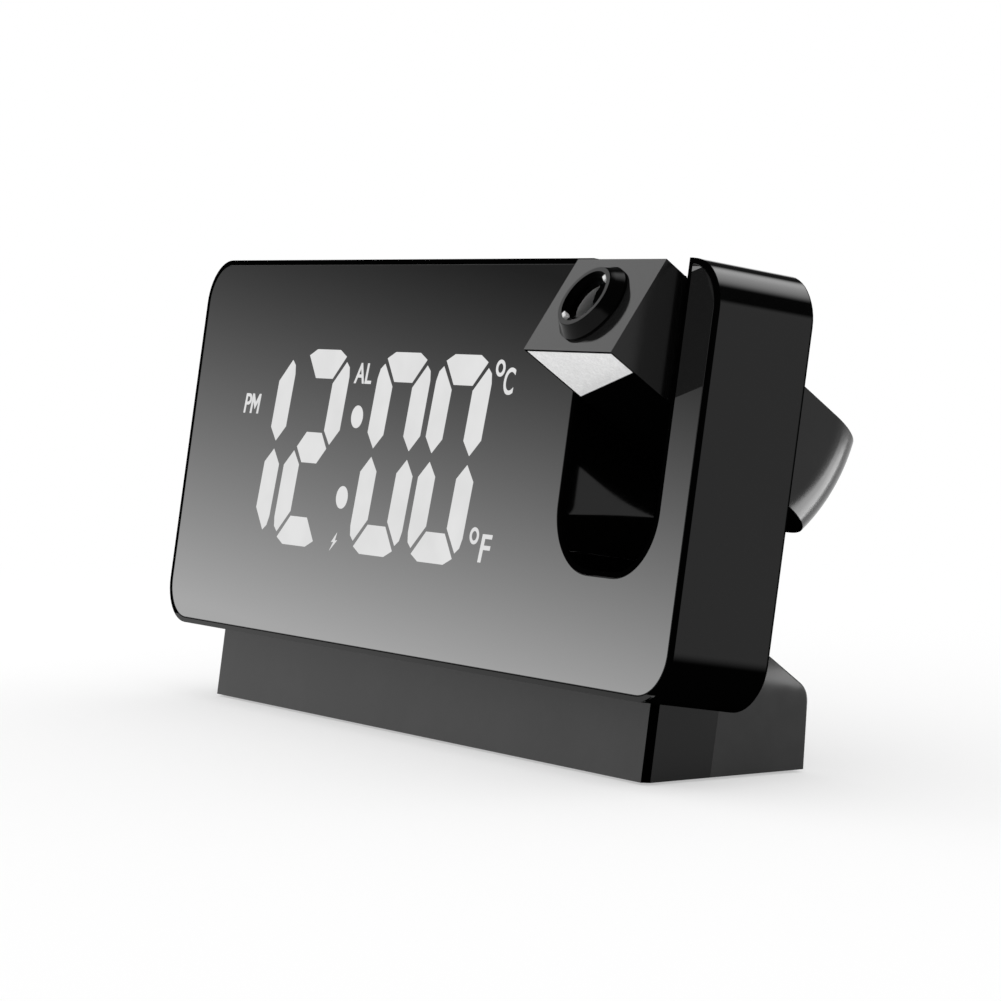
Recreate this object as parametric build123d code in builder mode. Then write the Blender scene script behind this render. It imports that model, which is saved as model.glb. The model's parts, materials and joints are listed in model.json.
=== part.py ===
"""Projection alarm clock: a leaning mirror-faced body on a stand, with a projector arm in a slot.

Millimetres and degrees. +Z is up, +X runs along the clock from the display towards the
projector slot, and the mirror faces -Y. The origin lies under the middle of the whole clock,
on the surface that its rubber feet rest on.
"""
import os
from math import asin, atan, cos, pi, radians, sin, tan

from build123d import *

os.makedirs("parts", exist_ok=True)

# --- Body: the leaning box behind the mirror ---------------------------------------------
body_w = 186.0  # along X
body_h = 77.0  # along the lean
body_d = 21.0  # square to the mirror
body_r = 9.0  # corner radius seen from the front
body_lift = 15.5  # front lower edge above the table
lean = 9.0  # body leans back by this angle
wall = 2.0
front_edge_chamfer = 0.5

# --- Mirror plate and display ------------------------------------------------------------
mirror_t = 1.2
mirror_rim = 0.9  # housing left showing round the mirror
front_wall = 1.6  # housing wall behind the mirror
glue_gap = 0.1
window_in = 6.5  # display window inside the board's ends
window_h = 49.0
diffuser_t = 0.4
light_box_gap = 0.3
layout_w = 109.0  # window that the digits and signs are laid out for, from its centre
digit_x = (-42.0, -19.95, 11.05, 33.1)
digit_v = 0.4
digit_w = 19.9
digit_h = 39.8
digit_slant = 0.1  # sideways shift per unit of height
stroke = 6.1
stroke_gap = 0.9
colon_dots = ((-5.15, -8.9), (-3.45, 7.2))
colon_r = 2.25
sign_cells = (  # centre x, centre v, width and height of the cells behind the small signs
    (-47.15, 8.5, 7.6, 5.2),
    (-3.15, 15.9, 7.6, 5.2),
    (-5.95, -17.7, 3.6, 4.6),
    (49.85, 16.1, 7.0, 7.0),
    (48.25, -15.1, 8.2, 7.4),
)
led_w = 2.0
led_t = 0.8

# --- Projector slot and pivot ------------------------------------------------------------
slot_from_side = 24.8  # centre of the slot from the body's right side
slot_w = 29.8
slot_r = 11.1  # radius of the slot's lower corners
tail_gap = 0.5  # slot's floor below the tail as it swings past
pivot_to_back = 9.0  # pivot in front of the body's back
pivot_to_top = 20.07  # pivot under the body's top
pin_r = 4.0
pin_bore_r = 1.7
pin_head_r = 5.2
pin_head_t = 1.2
pin_tip = 1.9  # pin beyond the slot wall
pin_clearance = 0.05
bush_r = 5.0
bush_flange_r = 6.4
bush_flange_t = 0.8
bush_clearance = 0.02
washer_t = 0.6
washer_r = 6.4
clip_t = 0.6
clip_r = 5.6
groove_depth = 0.6
stack_gap = 0.05

# --- Projector arm -----------------------------------------------------------------------
arm_rise = 36.0  # lens above the horizontal as stored in this pose
arm_side_gap = 1.1
arm_t = 19.66
arm_taper = 1.0  # the lid side falls towards the tail by this much
lens_reach = 23.0  # pivot to the lens face
tail_reach = 34.9  # pivot to the tail's end, which is round about the pivot
tail_r = 10.0  # rounding from the tail's end to its sides
arm_wall = 1.8
arm_floor = 1.6
arm_lid_t = 1.8
strip_t = 0.8
strip_rim = 0.5
arm_screws = ((-6.5, -25.3), (6.5, -25.3), (-9.6, 16.2), (9.6, 16.2))
arm_boss_r = 2.3

# --- Optics along the arm's axis ---------------------------------------------------------
barrel_r = 7.0
barrel_bore_r = 6.3
barrel_end = 8.0
barrel_stop_t = 1.2  # shoulder that the rear lens rests on
ring_r = 7.8
ring_front_r = 6.3
ring_proud = 2.7
ring_gap = 0.05
ring_rim_t = 0.5
ring_lip = 0.2
ring_stop_w = 0.6  # shoulders inside the ring's sleeve
ring_stop_t = 1.0
sleeve_len = 8.0
ring_bore_r = 5.3
front_lens_t = 2.6
lens_setback = 1.1  # lens rim behind the focus ring's front
lens_bulge = 0.8
lens_clearance = 0.03
lock_ring_t = 0.7
lock_ring_lift = 0.35  # lock ring's inner edge over the lens rim
lock_ring_bore_r = 4.5
lock_notch_w = 1.3
lock_notch_len = 0.9
lock_notch_depth = 0.45
lock_notch_in = 0.4  # notches inside the ring's outer edge
lock_notch_deg = 52.0
rear_lens_t = 2.4
frame_w = 18.0
frame_t = 14.0
frame_wall = 1.5
frame_back = -10.0
seat_lip = 0.5
lcd_gap = 0.1
lcd_a = 3.0
lcd_t = 1.2
condenser_a = -2.5
condenser_t = 2.0
condenser_r = 5.3
led_board_in = 0.5  # LED board inside the frame's ends
led_board_t = 1.6
led_r = 2.4
led_h = 3.0

# --- Stand -------------------------------------------------------------------------------
stand_side_inset = 13.0  # stand's ends inside the body's ends
stand_depth = 34.5  # along the table
stand_inset = 7.1  # stand's front top edge behind the mirror's face
stand_front_slope = 8.5
stand_rear_slope = 4.0
stand_roof_slope = 37.0
stand_back_h = 15.7  # how far the stand climbs the body's back
stand_back_r = 4.0
stand_corner_chamfer = 1.2
foot_proud = 0.5
foot_t = 1.2
foot_r = 4.5
foot_edge = 0.3
foot_gap = 0.1
foot_x_in = 20.0  # feet inside the stand's ends
foot_y_in = 7.5  # feet inside the stand's front and rear edges
plate_t = 2.0
plate_gap = 0.2

# --- Fasteners ---------------------------------------------------------------------------
screw_r = 1.2
screw_len = 8.0
screw_tip_gap = 1.0
head_r = 2.2
head_t = 1.2
head_gap = 0.2
thread_gap = 0.05
boss_r = 2.6
cover_screw_in = 7.5  # left screws inside the body's end
cover_screw_v = 12.0
middle_screw_to_slot = 8.3
middle_screw_in = 9.0  # middle and upper screws inside the body's edges
plate_screw_x_in = 7.0
plate_screw_y_in = 8.5
body_screw_x_in = 28.0
body_screw_to_back = 7.0
body_boss_r = 3.4
body_screw_len = 10.0
body_boss_h = 7.0
wire_hole_r = 3.0

# --- Boards and controls -----------------------------------------------------------------
board_t = 1.6
board_side_gap = 10.15  # boards inside the body's left end and the slot's wall
board_h = 51.0
post_in = 3.0  # posts inside the boards' ends
post_v = 18.5
spacer_t = 3.8
cover_t = 1.8
cover_gap = 0.15
button_to_top = 26.0
first_button_in = 31.0  # first button inside the body's left end
button_pitch = 16.0
button_names = ("mode_button", "up_button", "down_button", "alarm_button", "projector_button")
button_r = 3.4
button_proud = 0.8
button_flange_r = 4.4
button_flange_t = 0.9
button_edge = 0.4
button_gap = 0.12
button_travel = 0.5
switch_w = 6.0
switch_t = 1.9
plunger_r = 1.6
switch_r = 0.6
speaker_in = 33.0  # speaker inside the body's left end
speaker_v = 27.0
speaker_r = 8.0
speaker_t = 3.2
speaker_ring_t = 1.2
speaker_rim = 1.2
cone_depth = 0.6
cone_slope = 30.0
grille_hole_r = 0.8
grille_radii = (2.6, 5.2)
grille_pitch = 2.7
speaker_gap = 1.0  # speaker behind the main board
snooze_from_display = 10.0  # snooze bar left of the display's middle
snooze_w = 44.0
snooze_d = 9.0
snooze_r = 2.0
snooze_edge = 0.4
snooze_flange = 1.5
snooze_flange_t = 1.0
snooze_gap = 0.15
snooze_stem_w = 5.0
snooze_board_to_top = 9.0
snooze_board_back = 0.4  # snooze board's centre behind the middle of its room
snooze_stem_gap = 4.2  # stem's foot over the snooze board
snooze_switch_dx = 12.0
snooze_rib_w = 4.0
snooze_rib_h = 4.0

# --- Ports and battery in the stand ------------------------------------------------------
port_board_x = -20.0
port_board_w = 50.0
port_board_d = 16.0
port_post_h = 1.0
port_post_w = 4.0
port_post_in = 3.0  # posts inside the port board's ends
port_post_short = 2.0  # posts shorter than the port board is deep
port_board_gap = 0.6
usb_x = -32.0
usb_w = 13.1
usb_h = 5.7
usb_d = 14.0
usb_wall = 0.4
usb_back_t = 2.0
usb_tongue_t = 1.9
usb_tongue_in = 1.5  # tongue inside the port's ends
usb_tongue_drop = 0.3
jack_x = -8.0
jack_w = 9.0
jack_h = 8.0
jack_d = 12.0
jack_bore_r = 3.1
jack_pin_r = 1.0
jack_sleeve_t = 0.8
jack_back_t = 3.0
jack_hole_gap = 1.0
port_gap = 0.25
port_recess = 0.6
cell_to_foot = 22.0  # coin cell inside the feet
cell_r = 10.0
cell_t = 3.2
cell_edge = 0.5
cell_gap = 0.2
cell_back = 1.0  # cell behind the stand's middle
holder_w = 26.0
holder_d = 24.5
holder_h = 4.8
holder_roof_t = 0.6
door_w = 23.0
door_d = 21.5
door_gap = 0.2
door_r = 2.0
door_head_t = 1.0
door_screw_in = 2.6
contact_t = 0.25
contact_w = 5.0
contact_len = 14.0
door_screw_len = 4.5
door_screw_r = 1.0
door_head_r = 1.9
cutter_spare = 10.0  # how far a cutting shape runs past the wall that it cuts
play = 0.05  # least gap between pieces that touch in use

# --- Places worked out from the sizes above ----------------------------------------------
slot_x = body_w / 2 - slot_from_side
pivot_d = body_d - pivot_to_back
pivot_v = body_h - pivot_to_top
slot_floor = pivot_v - tail_reach - tail_gap
room_left = wall - body_w / 2
room_right = slot_x - slot_w / 2 - wall
window_x = (room_left + room_right) / 2
board_w = room_right - room_left - 2 * board_side_gap
window_w = board_w - 2 * window_in
post_x = board_w / 2 - post_in
window_v = body_h / 2
layout = window_w / layout_w
digits = [window_x + layout * x for x in digit_x]
dots = [(window_x + layout * x, window_v + v) for x, v in colon_dots]
signs = [(window_x + layout * x, window_v + v, layout * w, h) for x, v, w, h in sign_cells]
button_x = [first_button_in - body_w / 2 + n * button_pitch for n in range(len(button_names))]
speaker_x = speaker_in - body_w / 2
snooze_x = window_x - snooze_from_display
middle_screw_x = slot_x - slot_w / 2 - middle_screw_to_slot
stand_w = body_w - 2 * stand_side_inset
light_box_t = body_d - cover_t - speaker_t - speaker_gap - 2 * board_t - spacer_t - mirror_t - diffuser_t
button_v = body_h - button_to_top
snooze_board_v = body_h - snooze_board_to_top
body_screw_x = stand_w / 2 - body_screw_x_in
body_screw_d = body_d - body_screw_to_back
plate_screw_x = stand_w / 2 - plate_screw_x_in
foot_x = stand_w / 2 - foot_x_in
cell_x = foot_x - cell_to_foot
pillar_x = (slot_x + slot_w / 2 + body_w / 2) / 2
cover_screws = (
    (cover_screw_in - body_w / 2, cover_screw_v),
    (cover_screw_in - body_w / 2, body_h - cover_screw_v),
    (middle_screw_x, middle_screw_in),
    (middle_screw_x, body_h - middle_screw_in),
    (pillar_x, cover_screw_v),
    (pillar_x, body_h - cover_screw_v),
)

lean_c, lean_s = cos(radians(lean)), sin(radians(lean))
rise_c, rise_s = cos(radians(arm_rise)), sin(radians(arm_rise))
up = Vector(0, lean_s, lean_c)
depth = Vector(0, lean_c, -lean_s)
lens_dir = Vector(0, -rise_c, rise_s)
lid_dir = Vector(0, rise_s, rise_c)

arm_front = lens_reach * rise_c + arm_t / 2 * rise_s
tail_top_angle = asin((arm_t / 2 - arm_taper) / tail_reach)
arm_back = tail_reach * cos(radians(arm_rise) - tail_top_angle)
pivot_y = (arm_front - arm_back) / 2
body_y = pivot_y - (depth * pivot_d + up * pivot_v).Y
body_origin = Vector(0, body_y, body_lift)
pivot = body_origin + depth * pivot_d + up * pivot_v + Vector(slot_x, 0, 0)

inner_d = mirror_t + front_wall
cover_d = body_d - cover_t
display_board_d = mirror_t + diffuser_t + light_box_t
main_board_d = display_board_d + board_t + spacer_t
main_board_back = main_board_d + board_t
switch_top_d = main_board_back + switch_t
button_foot_d = cover_d - button_gap - button_flange_t
board_posts = [(window_x + sx * post_x, window_v + sv * post_v) for sx in (-1, 1) for sv in (-1, 1)]
arm_w = slot_w - 2 * arm_side_gap
floor_s = -arm_t / 2 + strip_t + arm_floor
stand_z = foot_proud
plate_top = stand_z + plate_t


def body_point(d, v):
    """Point at depth d behind the mirror's face and height v up the lean, in the plane x = 0."""
    return body_origin + depth * d + up * v


def body_plane(d):
    """Plane facing the viewer at depth d, with sketch axes X and up the lean."""
    return Plane(origin=body_point(d, 0), x_dir=(1, 0, 0), z_dir=-depth)


def top_plane(v):
    """Plane square to the lean at height v, with sketch axes X and depth."""
    return Plane(origin=body_point(0, v), x_dir=(1, 0, 0), z_dir=up)


def pivot_plane(x):
    """Plane across the pivot's axis at x, facing +X."""
    return Plane(origin=(x, pivot.Y, pivot.Z), x_dir=(0, 1, 0), z_dir=(1, 0, 0))


def arm_cross_plane(a):
    """Plane across the arm at distance a from the pivot towards the lens."""
    return Plane(origin=pivot + lens_dir * a, x_dir=(1, 0, 0), z_dir=lens_dir)


arm_side_plane = Plane(origin=pivot, x_dir=lens_dir, z_dir=(-1, 0, 0))
arm_slope = atan(arm_taper / (lens_reach + tail_reach))
lid_plane = Plane(
    origin=pivot + lens_dir * lens_reach + lid_dir * (arm_t / 2 - arm_lid_t),
    x_dir=(1, 0, 0),
    z_dir=lid_dir * cos(arm_slope) - lens_dir * sin(arm_slope),
)
lens_section_plane = Plane(origin=pivot, x_dir=(1, 0, 0), z_dir=-lid_dir)
lens_axis = Axis(pivot, lens_dir)


def arm_plan_plane(s):
    """Plane at height s over the arm's middle, with sketch axes -X and towards the lens."""
    return Plane(origin=pivot + lid_dir * s, x_dir=(-1, 0, 0), z_dir=lid_dir)


def body_outline(inset=0.0, slot_margin=0.0):
    """Front view of the body, shrunk by inset, less the slot grown by slot_margin."""
    slot_top = body_h + slot_r + slot_margin + wall
    slot_low = slot_floor - slot_margin
    with BuildSketch(mode=Mode.PRIVATE) as outline:
        with Locations((0, body_h / 2)):
            RectangleRounded(body_w - 2 * inset, body_h - 2 * inset, body_r - inset)
        with Locations((slot_x, (slot_top + slot_low) / 2)):
            RectangleRounded(
                slot_w + 2 * slot_margin,
                slot_top - slot_low,
                slot_r + slot_margin,
                mode=Mode.SUBTRACT,
            )
    return outline.sketch


def arm_block(inset=0.0):
    """The whole arm as one solid, shrunk by inset: tapered, with a tail that is round about the pivot."""
    front, end = lens_reach - inset, tail_reach - inset
    with BuildPart(mode=Mode.PRIVATE) as block:
        with BuildSketch(arm_side_plane):
            with BuildLine():
                Polyline(
                    (lens_reach, -arm_t / 2),
                    (lens_reach, arm_t / 2),
                    (-tail_reach, arm_t / 2 - arm_taper),
                    (-tail_reach, -arm_t / 2),
                    close=True,
                )
            make_face()
            with Locations(((front - end) / 2, 0)):
                Rectangle(front + end, 2 * arm_t, mode=Mode.INTERSECT)
            with BuildSketch(mode=Mode.PRIVATE) as round_end:
                Circle(end)
                with Locations((front, 0)):
                    Rectangle(2 * front, 2 * arm_t)
            add(round_end.sketch, mode=Mode.INTERSECT)
        extrude(amount=arm_w / 2 - inset, both=True)
        fillet(block.edges().filter_by(GeomType.CIRCLE), radius=tail_r - inset)
    return block.part


def stand_outline(low, inset=0.0):
    """Side view of the stand, (y, z), its walls carried down to height low."""
    brow = body_point(stand_inset, 0)
    heel = body_point(body_d, 0)
    crest = body_point(body_d, stand_back_h)
    front_tan, rear_tan = tan(radians(stand_front_slope)), tan(radians(stand_rear_slope))
    toe_y = brow.Y - (brow.Z - stand_z) * front_tan
    tail_y = toe_y + stand_depth
    roof_tan = tan(radians(stand_roof_slope))
    back_z = (crest.Z - roof_tan * (tail_y - stand_z * rear_tan - crest.Y)) / (1 + roof_tan * rear_tan)
    back_y = tail_y + (back_z - stand_z) * rear_tan
    with BuildSketch(mode=Mode.PRIVATE) as outline:
        with BuildLine():
            Polyline(
                (toe_y - (stand_z - low) * front_tan, low),
                (brow.Y, brow.Z),
                (heel.Y, heel.Z),
                (crest.Y, crest.Z),
                (back_y, back_z),
                (tail_y - (stand_z - low) * rear_tan, low),
                close=True,
            )
        make_face()
        fillet(outline.vertices().sort_by(Axis.X)[-1], radius=stand_back_r)
        if inset:
            offset(amount=-inset, kind=Kind.INTERSECTION, mode=Mode.REPLACE)
    return outline.sketch


stand_box = stand_outline(stand_z).bounding_box()
stand_front_y = stand_box.min.X
stand_rear_y = stand_front_y + stand_depth
foot_ys = (stand_front_y + foot_y_in, stand_rear_y - foot_y_in)
plate_screw_ys = (stand_front_y + plate_screw_y_in, stand_rear_y - plate_screw_y_in)
cell_y = (stand_front_y + stand_rear_y) / 2 + cell_back
door_screw = (cell_x + door_w / 2 - door_screw_in, cell_y + door_d / 2 - door_screw_in)


def screw(plane, length=screw_len, shank_r=screw_r):
    """Pan-head screw: the head stands on the plane and the shank runs below it."""
    with Locations(plane):
        Cylinder(head_r, head_t, align=(Align.CENTER, Align.CENTER, Align.MIN))
        Cylinder(shank_r, length, align=(Align.CENTER, Align.CENTER, Align.MAX))


def finish(piece, name):
    """Label a finished piece and write it."""
    piece.part.label = name
    export_step(piece.part, f"parts/{name}.step")


# --- Front housing: tub with walls, slot wall, posts and bosses --------------------------
with BuildPart() as body_hollow:
    with BuildSketch(body_plane(inner_d)):
        add(body_outline(wall, wall))
    extrude(amount=-(body_d - inner_d))
    with BuildSketch(body_plane(inner_d)):
        with Locations(*cover_screws):
            Circle(boss_r)
    extrude(amount=-(cover_d - inner_d), mode=Mode.SUBTRACT)
    with BuildSketch(body_plane(inner_d)):
        with Locations(*board_posts):
            Circle(boss_r)
    extrude(amount=-(display_board_d - inner_d), mode=Mode.SUBTRACT)
    with BuildSketch(top_plane(wall)):
        with Locations(*[(sx * body_screw_x, body_screw_d) for sx in (-1, 1)]):
            Circle(body_boss_r)
    extrude(amount=body_boss_h, mode=Mode.SUBTRACT)
    with BuildSketch(body_plane(inner_d)):
        rib_x = snooze_w / 2 + snooze_flange - snooze_rib_w
        with Locations(*[(snooze_x + sx * rib_x, snooze_board_v - snooze_rib_h / 2) for sx in (-1, 1)]):
            Rectangle(snooze_rib_w, snooze_rib_h)
    extrude(amount=-(main_board_d - inner_d), mode=Mode.SUBTRACT)

with BuildPart() as front_housing:
    with BuildSketch(body_plane(0)):
        add(body_outline())
    extrude(amount=-body_d)
    chamfer(front_housing.faces().filter_by(body_plane(0)).sort_by(SortBy.AREA)[-1].edges(), front_edge_chamfer)
    with BuildSketch(body_plane(0)):
        add(body_outline(mirror_rim, mirror_rim))
    extrude(amount=-mirror_t, mode=Mode.SUBTRACT)
    add(body_hollow.part, mode=Mode.SUBTRACT)
    with BuildSketch(body_plane(0)):
        with Locations((window_x, window_v)):
            Rectangle(window_w, window_h)
    extrude(amount=-inner_d - play, mode=Mode.SUBTRACT)
    with BuildSketch(body_plane(cover_d)):
        with Locations(*cover_screws):
            Circle(screw_r + thread_gap)
    extrude(amount=screw_len, mode=Mode.SUBTRACT)
    with BuildSketch(body_plane(display_board_d)):
        with Locations(*board_posts):
            Circle(screw_r + thread_gap)
    extrude(amount=display_board_d - inner_d, mode=Mode.SUBTRACT)
    with BuildSketch(pivot_plane(slot_x)):
        Circle(bush_r + bush_clearance)
    extrude(amount=slot_w / 2 + wall + play, both=True, mode=Mode.SUBTRACT)
    with BuildSketch(top_plane(0)):
        with Locations(*[(sx * body_screw_x, body_screw_d) for sx in (-1, 1)]):
            Circle(screw_r + thread_gap)
        with Locations((0, body_screw_d)):
            Circle(wire_hole_r)
    extrude(amount=wall + body_boss_h, mode=Mode.SUBTRACT)
    with BuildSketch(top_plane(body_h)):
        with Locations((snooze_x, body_d / 2)):
            RectangleRounded(snooze_w, snooze_d, snooze_r)
    extrude(amount=-wall - play, mode=Mode.SUBTRACT)
finish(front_housing, "front_housing")

# --- Mirror plate, glued into the housing's recess ---------------------------------------
with BuildPart() as mirror_plate:
    with BuildSketch(body_plane(0)):
        add(body_outline(mirror_rim + glue_gap, mirror_rim + glue_gap))
    extrude(amount=-mirror_t)
finish(mirror_plate, "mirror_plate")

# --- Rear cover, let in flush between the walls ------------------------------------------
with BuildPart() as rear_cover:
    with BuildSketch(body_plane(cover_d)):
        add(body_outline(wall + cover_gap, wall + cover_gap))
    extrude(amount=-cover_t)
    with BuildSketch(body_plane(cover_d)):
        with Locations((speaker_x, speaker_v)):
            Circle(speaker_r + speaker_ring_t + cover_gap)
            Circle(speaker_r + cover_gap, mode=Mode.SUBTRACT)
    extrude(amount=speaker_t)
    with BuildSketch(body_plane(cover_d)):
        with Locations(*[(x, button_v) for x in button_x]):
            Circle(button_r + button_gap)
        with Locations((speaker_x, speaker_v)):
            Circle(grille_hole_r)
            for ring in grille_radii:
                with PolarLocations(ring, round(2 * pi * ring / grille_pitch)):
                    Circle(grille_hole_r)
        with Locations(*cover_screws):
            Circle(screw_r + head_gap)
    extrude(amount=-cover_t, mode=Mode.SUBTRACT)
    with BuildSketch(body_plane(body_d)):
        with Locations(*cover_screws):
            Circle(head_r + head_gap)
    extrude(amount=head_t, mode=Mode.SUBTRACT)
finish(rear_cover, "rear_cover")

with BuildPart() as cover_screw_set:
    for x, v in cover_screws:
        screw(Plane(body_point(body_d - head_t, v) + Vector(x, 0, 0), x_dir=(1, 0, 0), z_dir=depth))
finish(cover_screw_set, "rear_cover_screws")


# --- Display: diffuser, light box with a cell for each segment, LEDs and board -----------
def slanted(x, v, centre):
    """Place a point of an upright digit on the slanted digit around centre."""
    return (centre + x + digit_slant * v, window_v + digit_v + v)


def digit_segments(centre):
    """Outlines of the seven segments of one digit: three bars across, four up the sides."""
    out_x, out_v = layout * digit_w / 2, digit_h / 2
    in_x, in_v = out_x - stroke, out_v - stroke
    gap = stroke_gap / 2
    top = [
        (-in_x + gap, in_v),
        (in_x - gap, in_v),
        (out_x - stroke / 2 + gap, out_v - stroke / 4),
        (out_x - stroke, out_v),
        (stroke - out_x, out_v),
        (stroke / 2 - out_x - gap, out_v - stroke / 4),
    ]
    side = [
        (in_x, stroke / 2 + gap),
        (out_x - stroke / 2, gap * 2),
        (out_x, stroke / 2 + 2 * gap),
        (out_x, out_v - stroke),
        (out_x - stroke / 3, out_v - stroke / 3),
        (in_x, in_v - gap),
    ]
    middle = [
        (-out_x + stroke / 2 + gap, 0),
        (-in_x + gap, stroke / 2),
        (in_x - gap, stroke / 2),
        (out_x - stroke / 2 - gap, 0),
        (in_x - gap, -stroke / 2),
        (-in_x + gap, -stroke / 2),
    ]
    outlines = [top, [(x, -v) for x, v in top], middle]
    outlines += [[(sx * x, sv * v) for x, v in side] for sx in (1, -1) for sv in (1, -1)]
    return [[slanted(x, v, centre) for x, v in outline] for outline in outlines]


def middle_of(outline):
    """Middle of an outline's corners."""
    return tuple(sum(values) / len(outline) for values in zip(*outline))


right_bars = digit_segments(digits[0])[3:5]  # the first digit only shows a 1
all_segments = right_bars + [segment for centre in digits[1:] for segment in digit_segments(centre)]
led_spots = [middle_of(segment) for segment in all_segments]
led_spots += dots + [(x, v) for x, v, _, _ in signs]

with BuildPart() as diffuser:
    with BuildSketch(body_plane(mirror_t)):
        with Locations((window_x, window_v)):
            Rectangle(window_w - 2 * light_box_gap, window_h - 2 * light_box_gap)
    extrude(amount=-diffuser_t)
finish(diffuser, "display_diffuser")

with BuildPart() as light_box:
    with BuildSketch(body_plane(mirror_t + diffuser_t)):
        with Locations((window_x, window_v)):
            Rectangle(window_w - 2 * light_box_gap, window_h - 2 * light_box_gap)
        for segment in all_segments:
            with BuildLine():
                Polyline(*segment, close=True)
            make_face(mode=Mode.SUBTRACT)
        with Locations(*dots):
            Circle(colon_r, mode=Mode.SUBTRACT)
        for x, v, cell_w, cell_h in signs:
            with Locations((x, v)):
                Rectangle(cell_w, cell_h, mode=Mode.SUBTRACT)
    extrude(amount=-light_box_t)
finish(light_box, "display_light_box")

with BuildPart() as display_leds:
    with BuildSketch(body_plane(display_board_d)):
        with Locations(*led_spots):
            Rectangle(led_w, led_w)
    extrude(amount=led_t)
finish(display_leds, "display_leds")

for board_name, board_d in (("display_board", display_board_d), ("main_board", main_board_d)):
    with BuildPart() as board:
        with BuildSketch(body_plane(board_d)):
            with Locations((window_x, window_v)):
                Rectangle(board_w, board_h)
            with Locations(*board_posts):
                Circle(screw_r + head_gap, mode=Mode.SUBTRACT)
        extrude(amount=-board_t)
    finish(board, board_name)

with BuildPart() as board_spacers:
    with BuildSketch(body_plane(display_board_d + board_t)):
        with Locations(*board_posts):
            RegularPolygon(boss_r, 6)
            Circle(screw_r + head_gap, mode=Mode.SUBTRACT)
    extrude(amount=-spacer_t)
finish(board_spacers, "board_spacers")

with BuildPart() as board_screws:
    for x, v in board_posts:
        seat = body_point(main_board_back, v) + Vector(x, 0, 0)
        screw(Plane(seat, x_dir=(1, 0, 0), z_dir=depth), main_board_back - inner_d - screw_tip_gap)
finish(board_screws, "board_screws")

# --- Rear buttons, their switches and the speaker ----------------------------------------
with BuildPart() as switches:
    with BuildSketch(body_plane(main_board_back)):
        with Locations(*[(x, button_v) for x in button_x]):
            RectangleRounded(switch_w, switch_w, switch_r)
    extrude(amount=-switch_t)
    with BuildSketch(body_plane(switch_top_d)):
        with Locations(*[(x, button_v) for x in button_x]):
            Circle(plunger_r)
    extrude(amount=-(button_foot_d - button_travel - play - switch_top_d))
finish(switches, "tact_switches")

for button_name, x in zip(button_names, button_x):
    with BuildPart() as button:
        with BuildSketch(body_plane(button_foot_d)):
            with Locations((x, button_v)):
                Circle(button_flange_r)
        extrude(amount=-button_flange_t)
        with BuildSketch(body_plane(button_foot_d + button_flange_t)):
            with Locations((x, button_v)):
                Circle(button_r)
        extrude(amount=-(body_d + button_proud - button_foot_d - button_flange_t))
        chamfer(button.faces().sort_by(Axis(body_origin, depth))[-1].edges(), button_edge)
    finish(button, button_name)

with BuildPart() as speaker:
    with BuildSketch(body_plane(cover_d)):
        with Locations((speaker_x, speaker_v)):
            Circle(speaker_r)
    extrude(amount=speaker_t)
    with BuildSketch(body_plane(cover_d)):
        with Locations((speaker_x, speaker_v)):
            Circle(speaker_r - speaker_rim)
    extrude(amount=cone_depth, taper=cone_slope, mode=Mode.SUBTRACT)
finish(speaker, "speaker")

# --- Snooze bar in the top wall, its board and switches ----------------------------------
snooze_flange_v = body_h - wall - snooze_gap - snooze_flange_t
snooze_switch_v = snooze_board_v + board_t
snooze_stem_v = snooze_switch_v + snooze_stem_gap

with BuildPart() as snooze_button:
    with BuildSketch(top_plane(snooze_flange_v)):
        with Locations((snooze_x, body_d / 2)):
            RectangleRounded(snooze_w + 2 * snooze_flange, snooze_d + 2 * snooze_flange, snooze_r)
    extrude(amount=snooze_flange_t)
    with BuildSketch(top_plane(snooze_flange_v + snooze_flange_t)):
        with Locations((snooze_x, body_d / 2)):
            RectangleRounded(snooze_w - 2 * snooze_gap, snooze_d - 2 * snooze_gap, snooze_r - snooze_gap)
    extrude(amount=wall + snooze_gap)
    chamfer(snooze_button.faces().sort_by(Axis(body_origin, up))[-1].edges(), snooze_edge)
    with BuildSketch(top_plane(snooze_stem_v)):
        with Locations(*[(snooze_x + sx * snooze_switch_dx, body_d / 2) for sx in (-1, 1)]):
            Rectangle(snooze_stem_w, snooze_stem_w)
    extrude(amount=snooze_flange_v - snooze_stem_v)
finish(snooze_button, "snooze_button")

with BuildPart() as snooze_board:
    with BuildSketch(top_plane(snooze_board_v)):
        with Locations((snooze_x, (inner_d + main_board_d) / 2 + snooze_board_back)):
            Rectangle(snooze_w + 2 * snooze_flange, main_board_d - inner_d)
    extrude(amount=board_t)
finish(snooze_board, "snooze_board")

with BuildPart() as snooze_switches:
    with BuildSketch(top_plane(snooze_switch_v)):
        with Locations(*[(snooze_x + sx * snooze_switch_dx, body_d / 2) for sx in (-1, 1)]):
            RectangleRounded(switch_w, switch_w, switch_r)
    extrude(amount=switch_t)
    with BuildSketch(top_plane(snooze_switch_v + switch_t)):
        with Locations(*[(snooze_x + sx * snooze_switch_dx, body_d / 2) for sx in (-1, 1)]):
            Circle(plunger_r)
    extrude(amount=snooze_stem_v - button_travel - play - snooze_switch_v - switch_t)
finish(snooze_switches, "snooze_switches")

# --- Pivot: bushes in the slot walls, hollow pins, friction washers and clips ------------
slot_half = slot_w / 2
pin_length = arm_side_gap + wall + pin_tip + arm_wall

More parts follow.
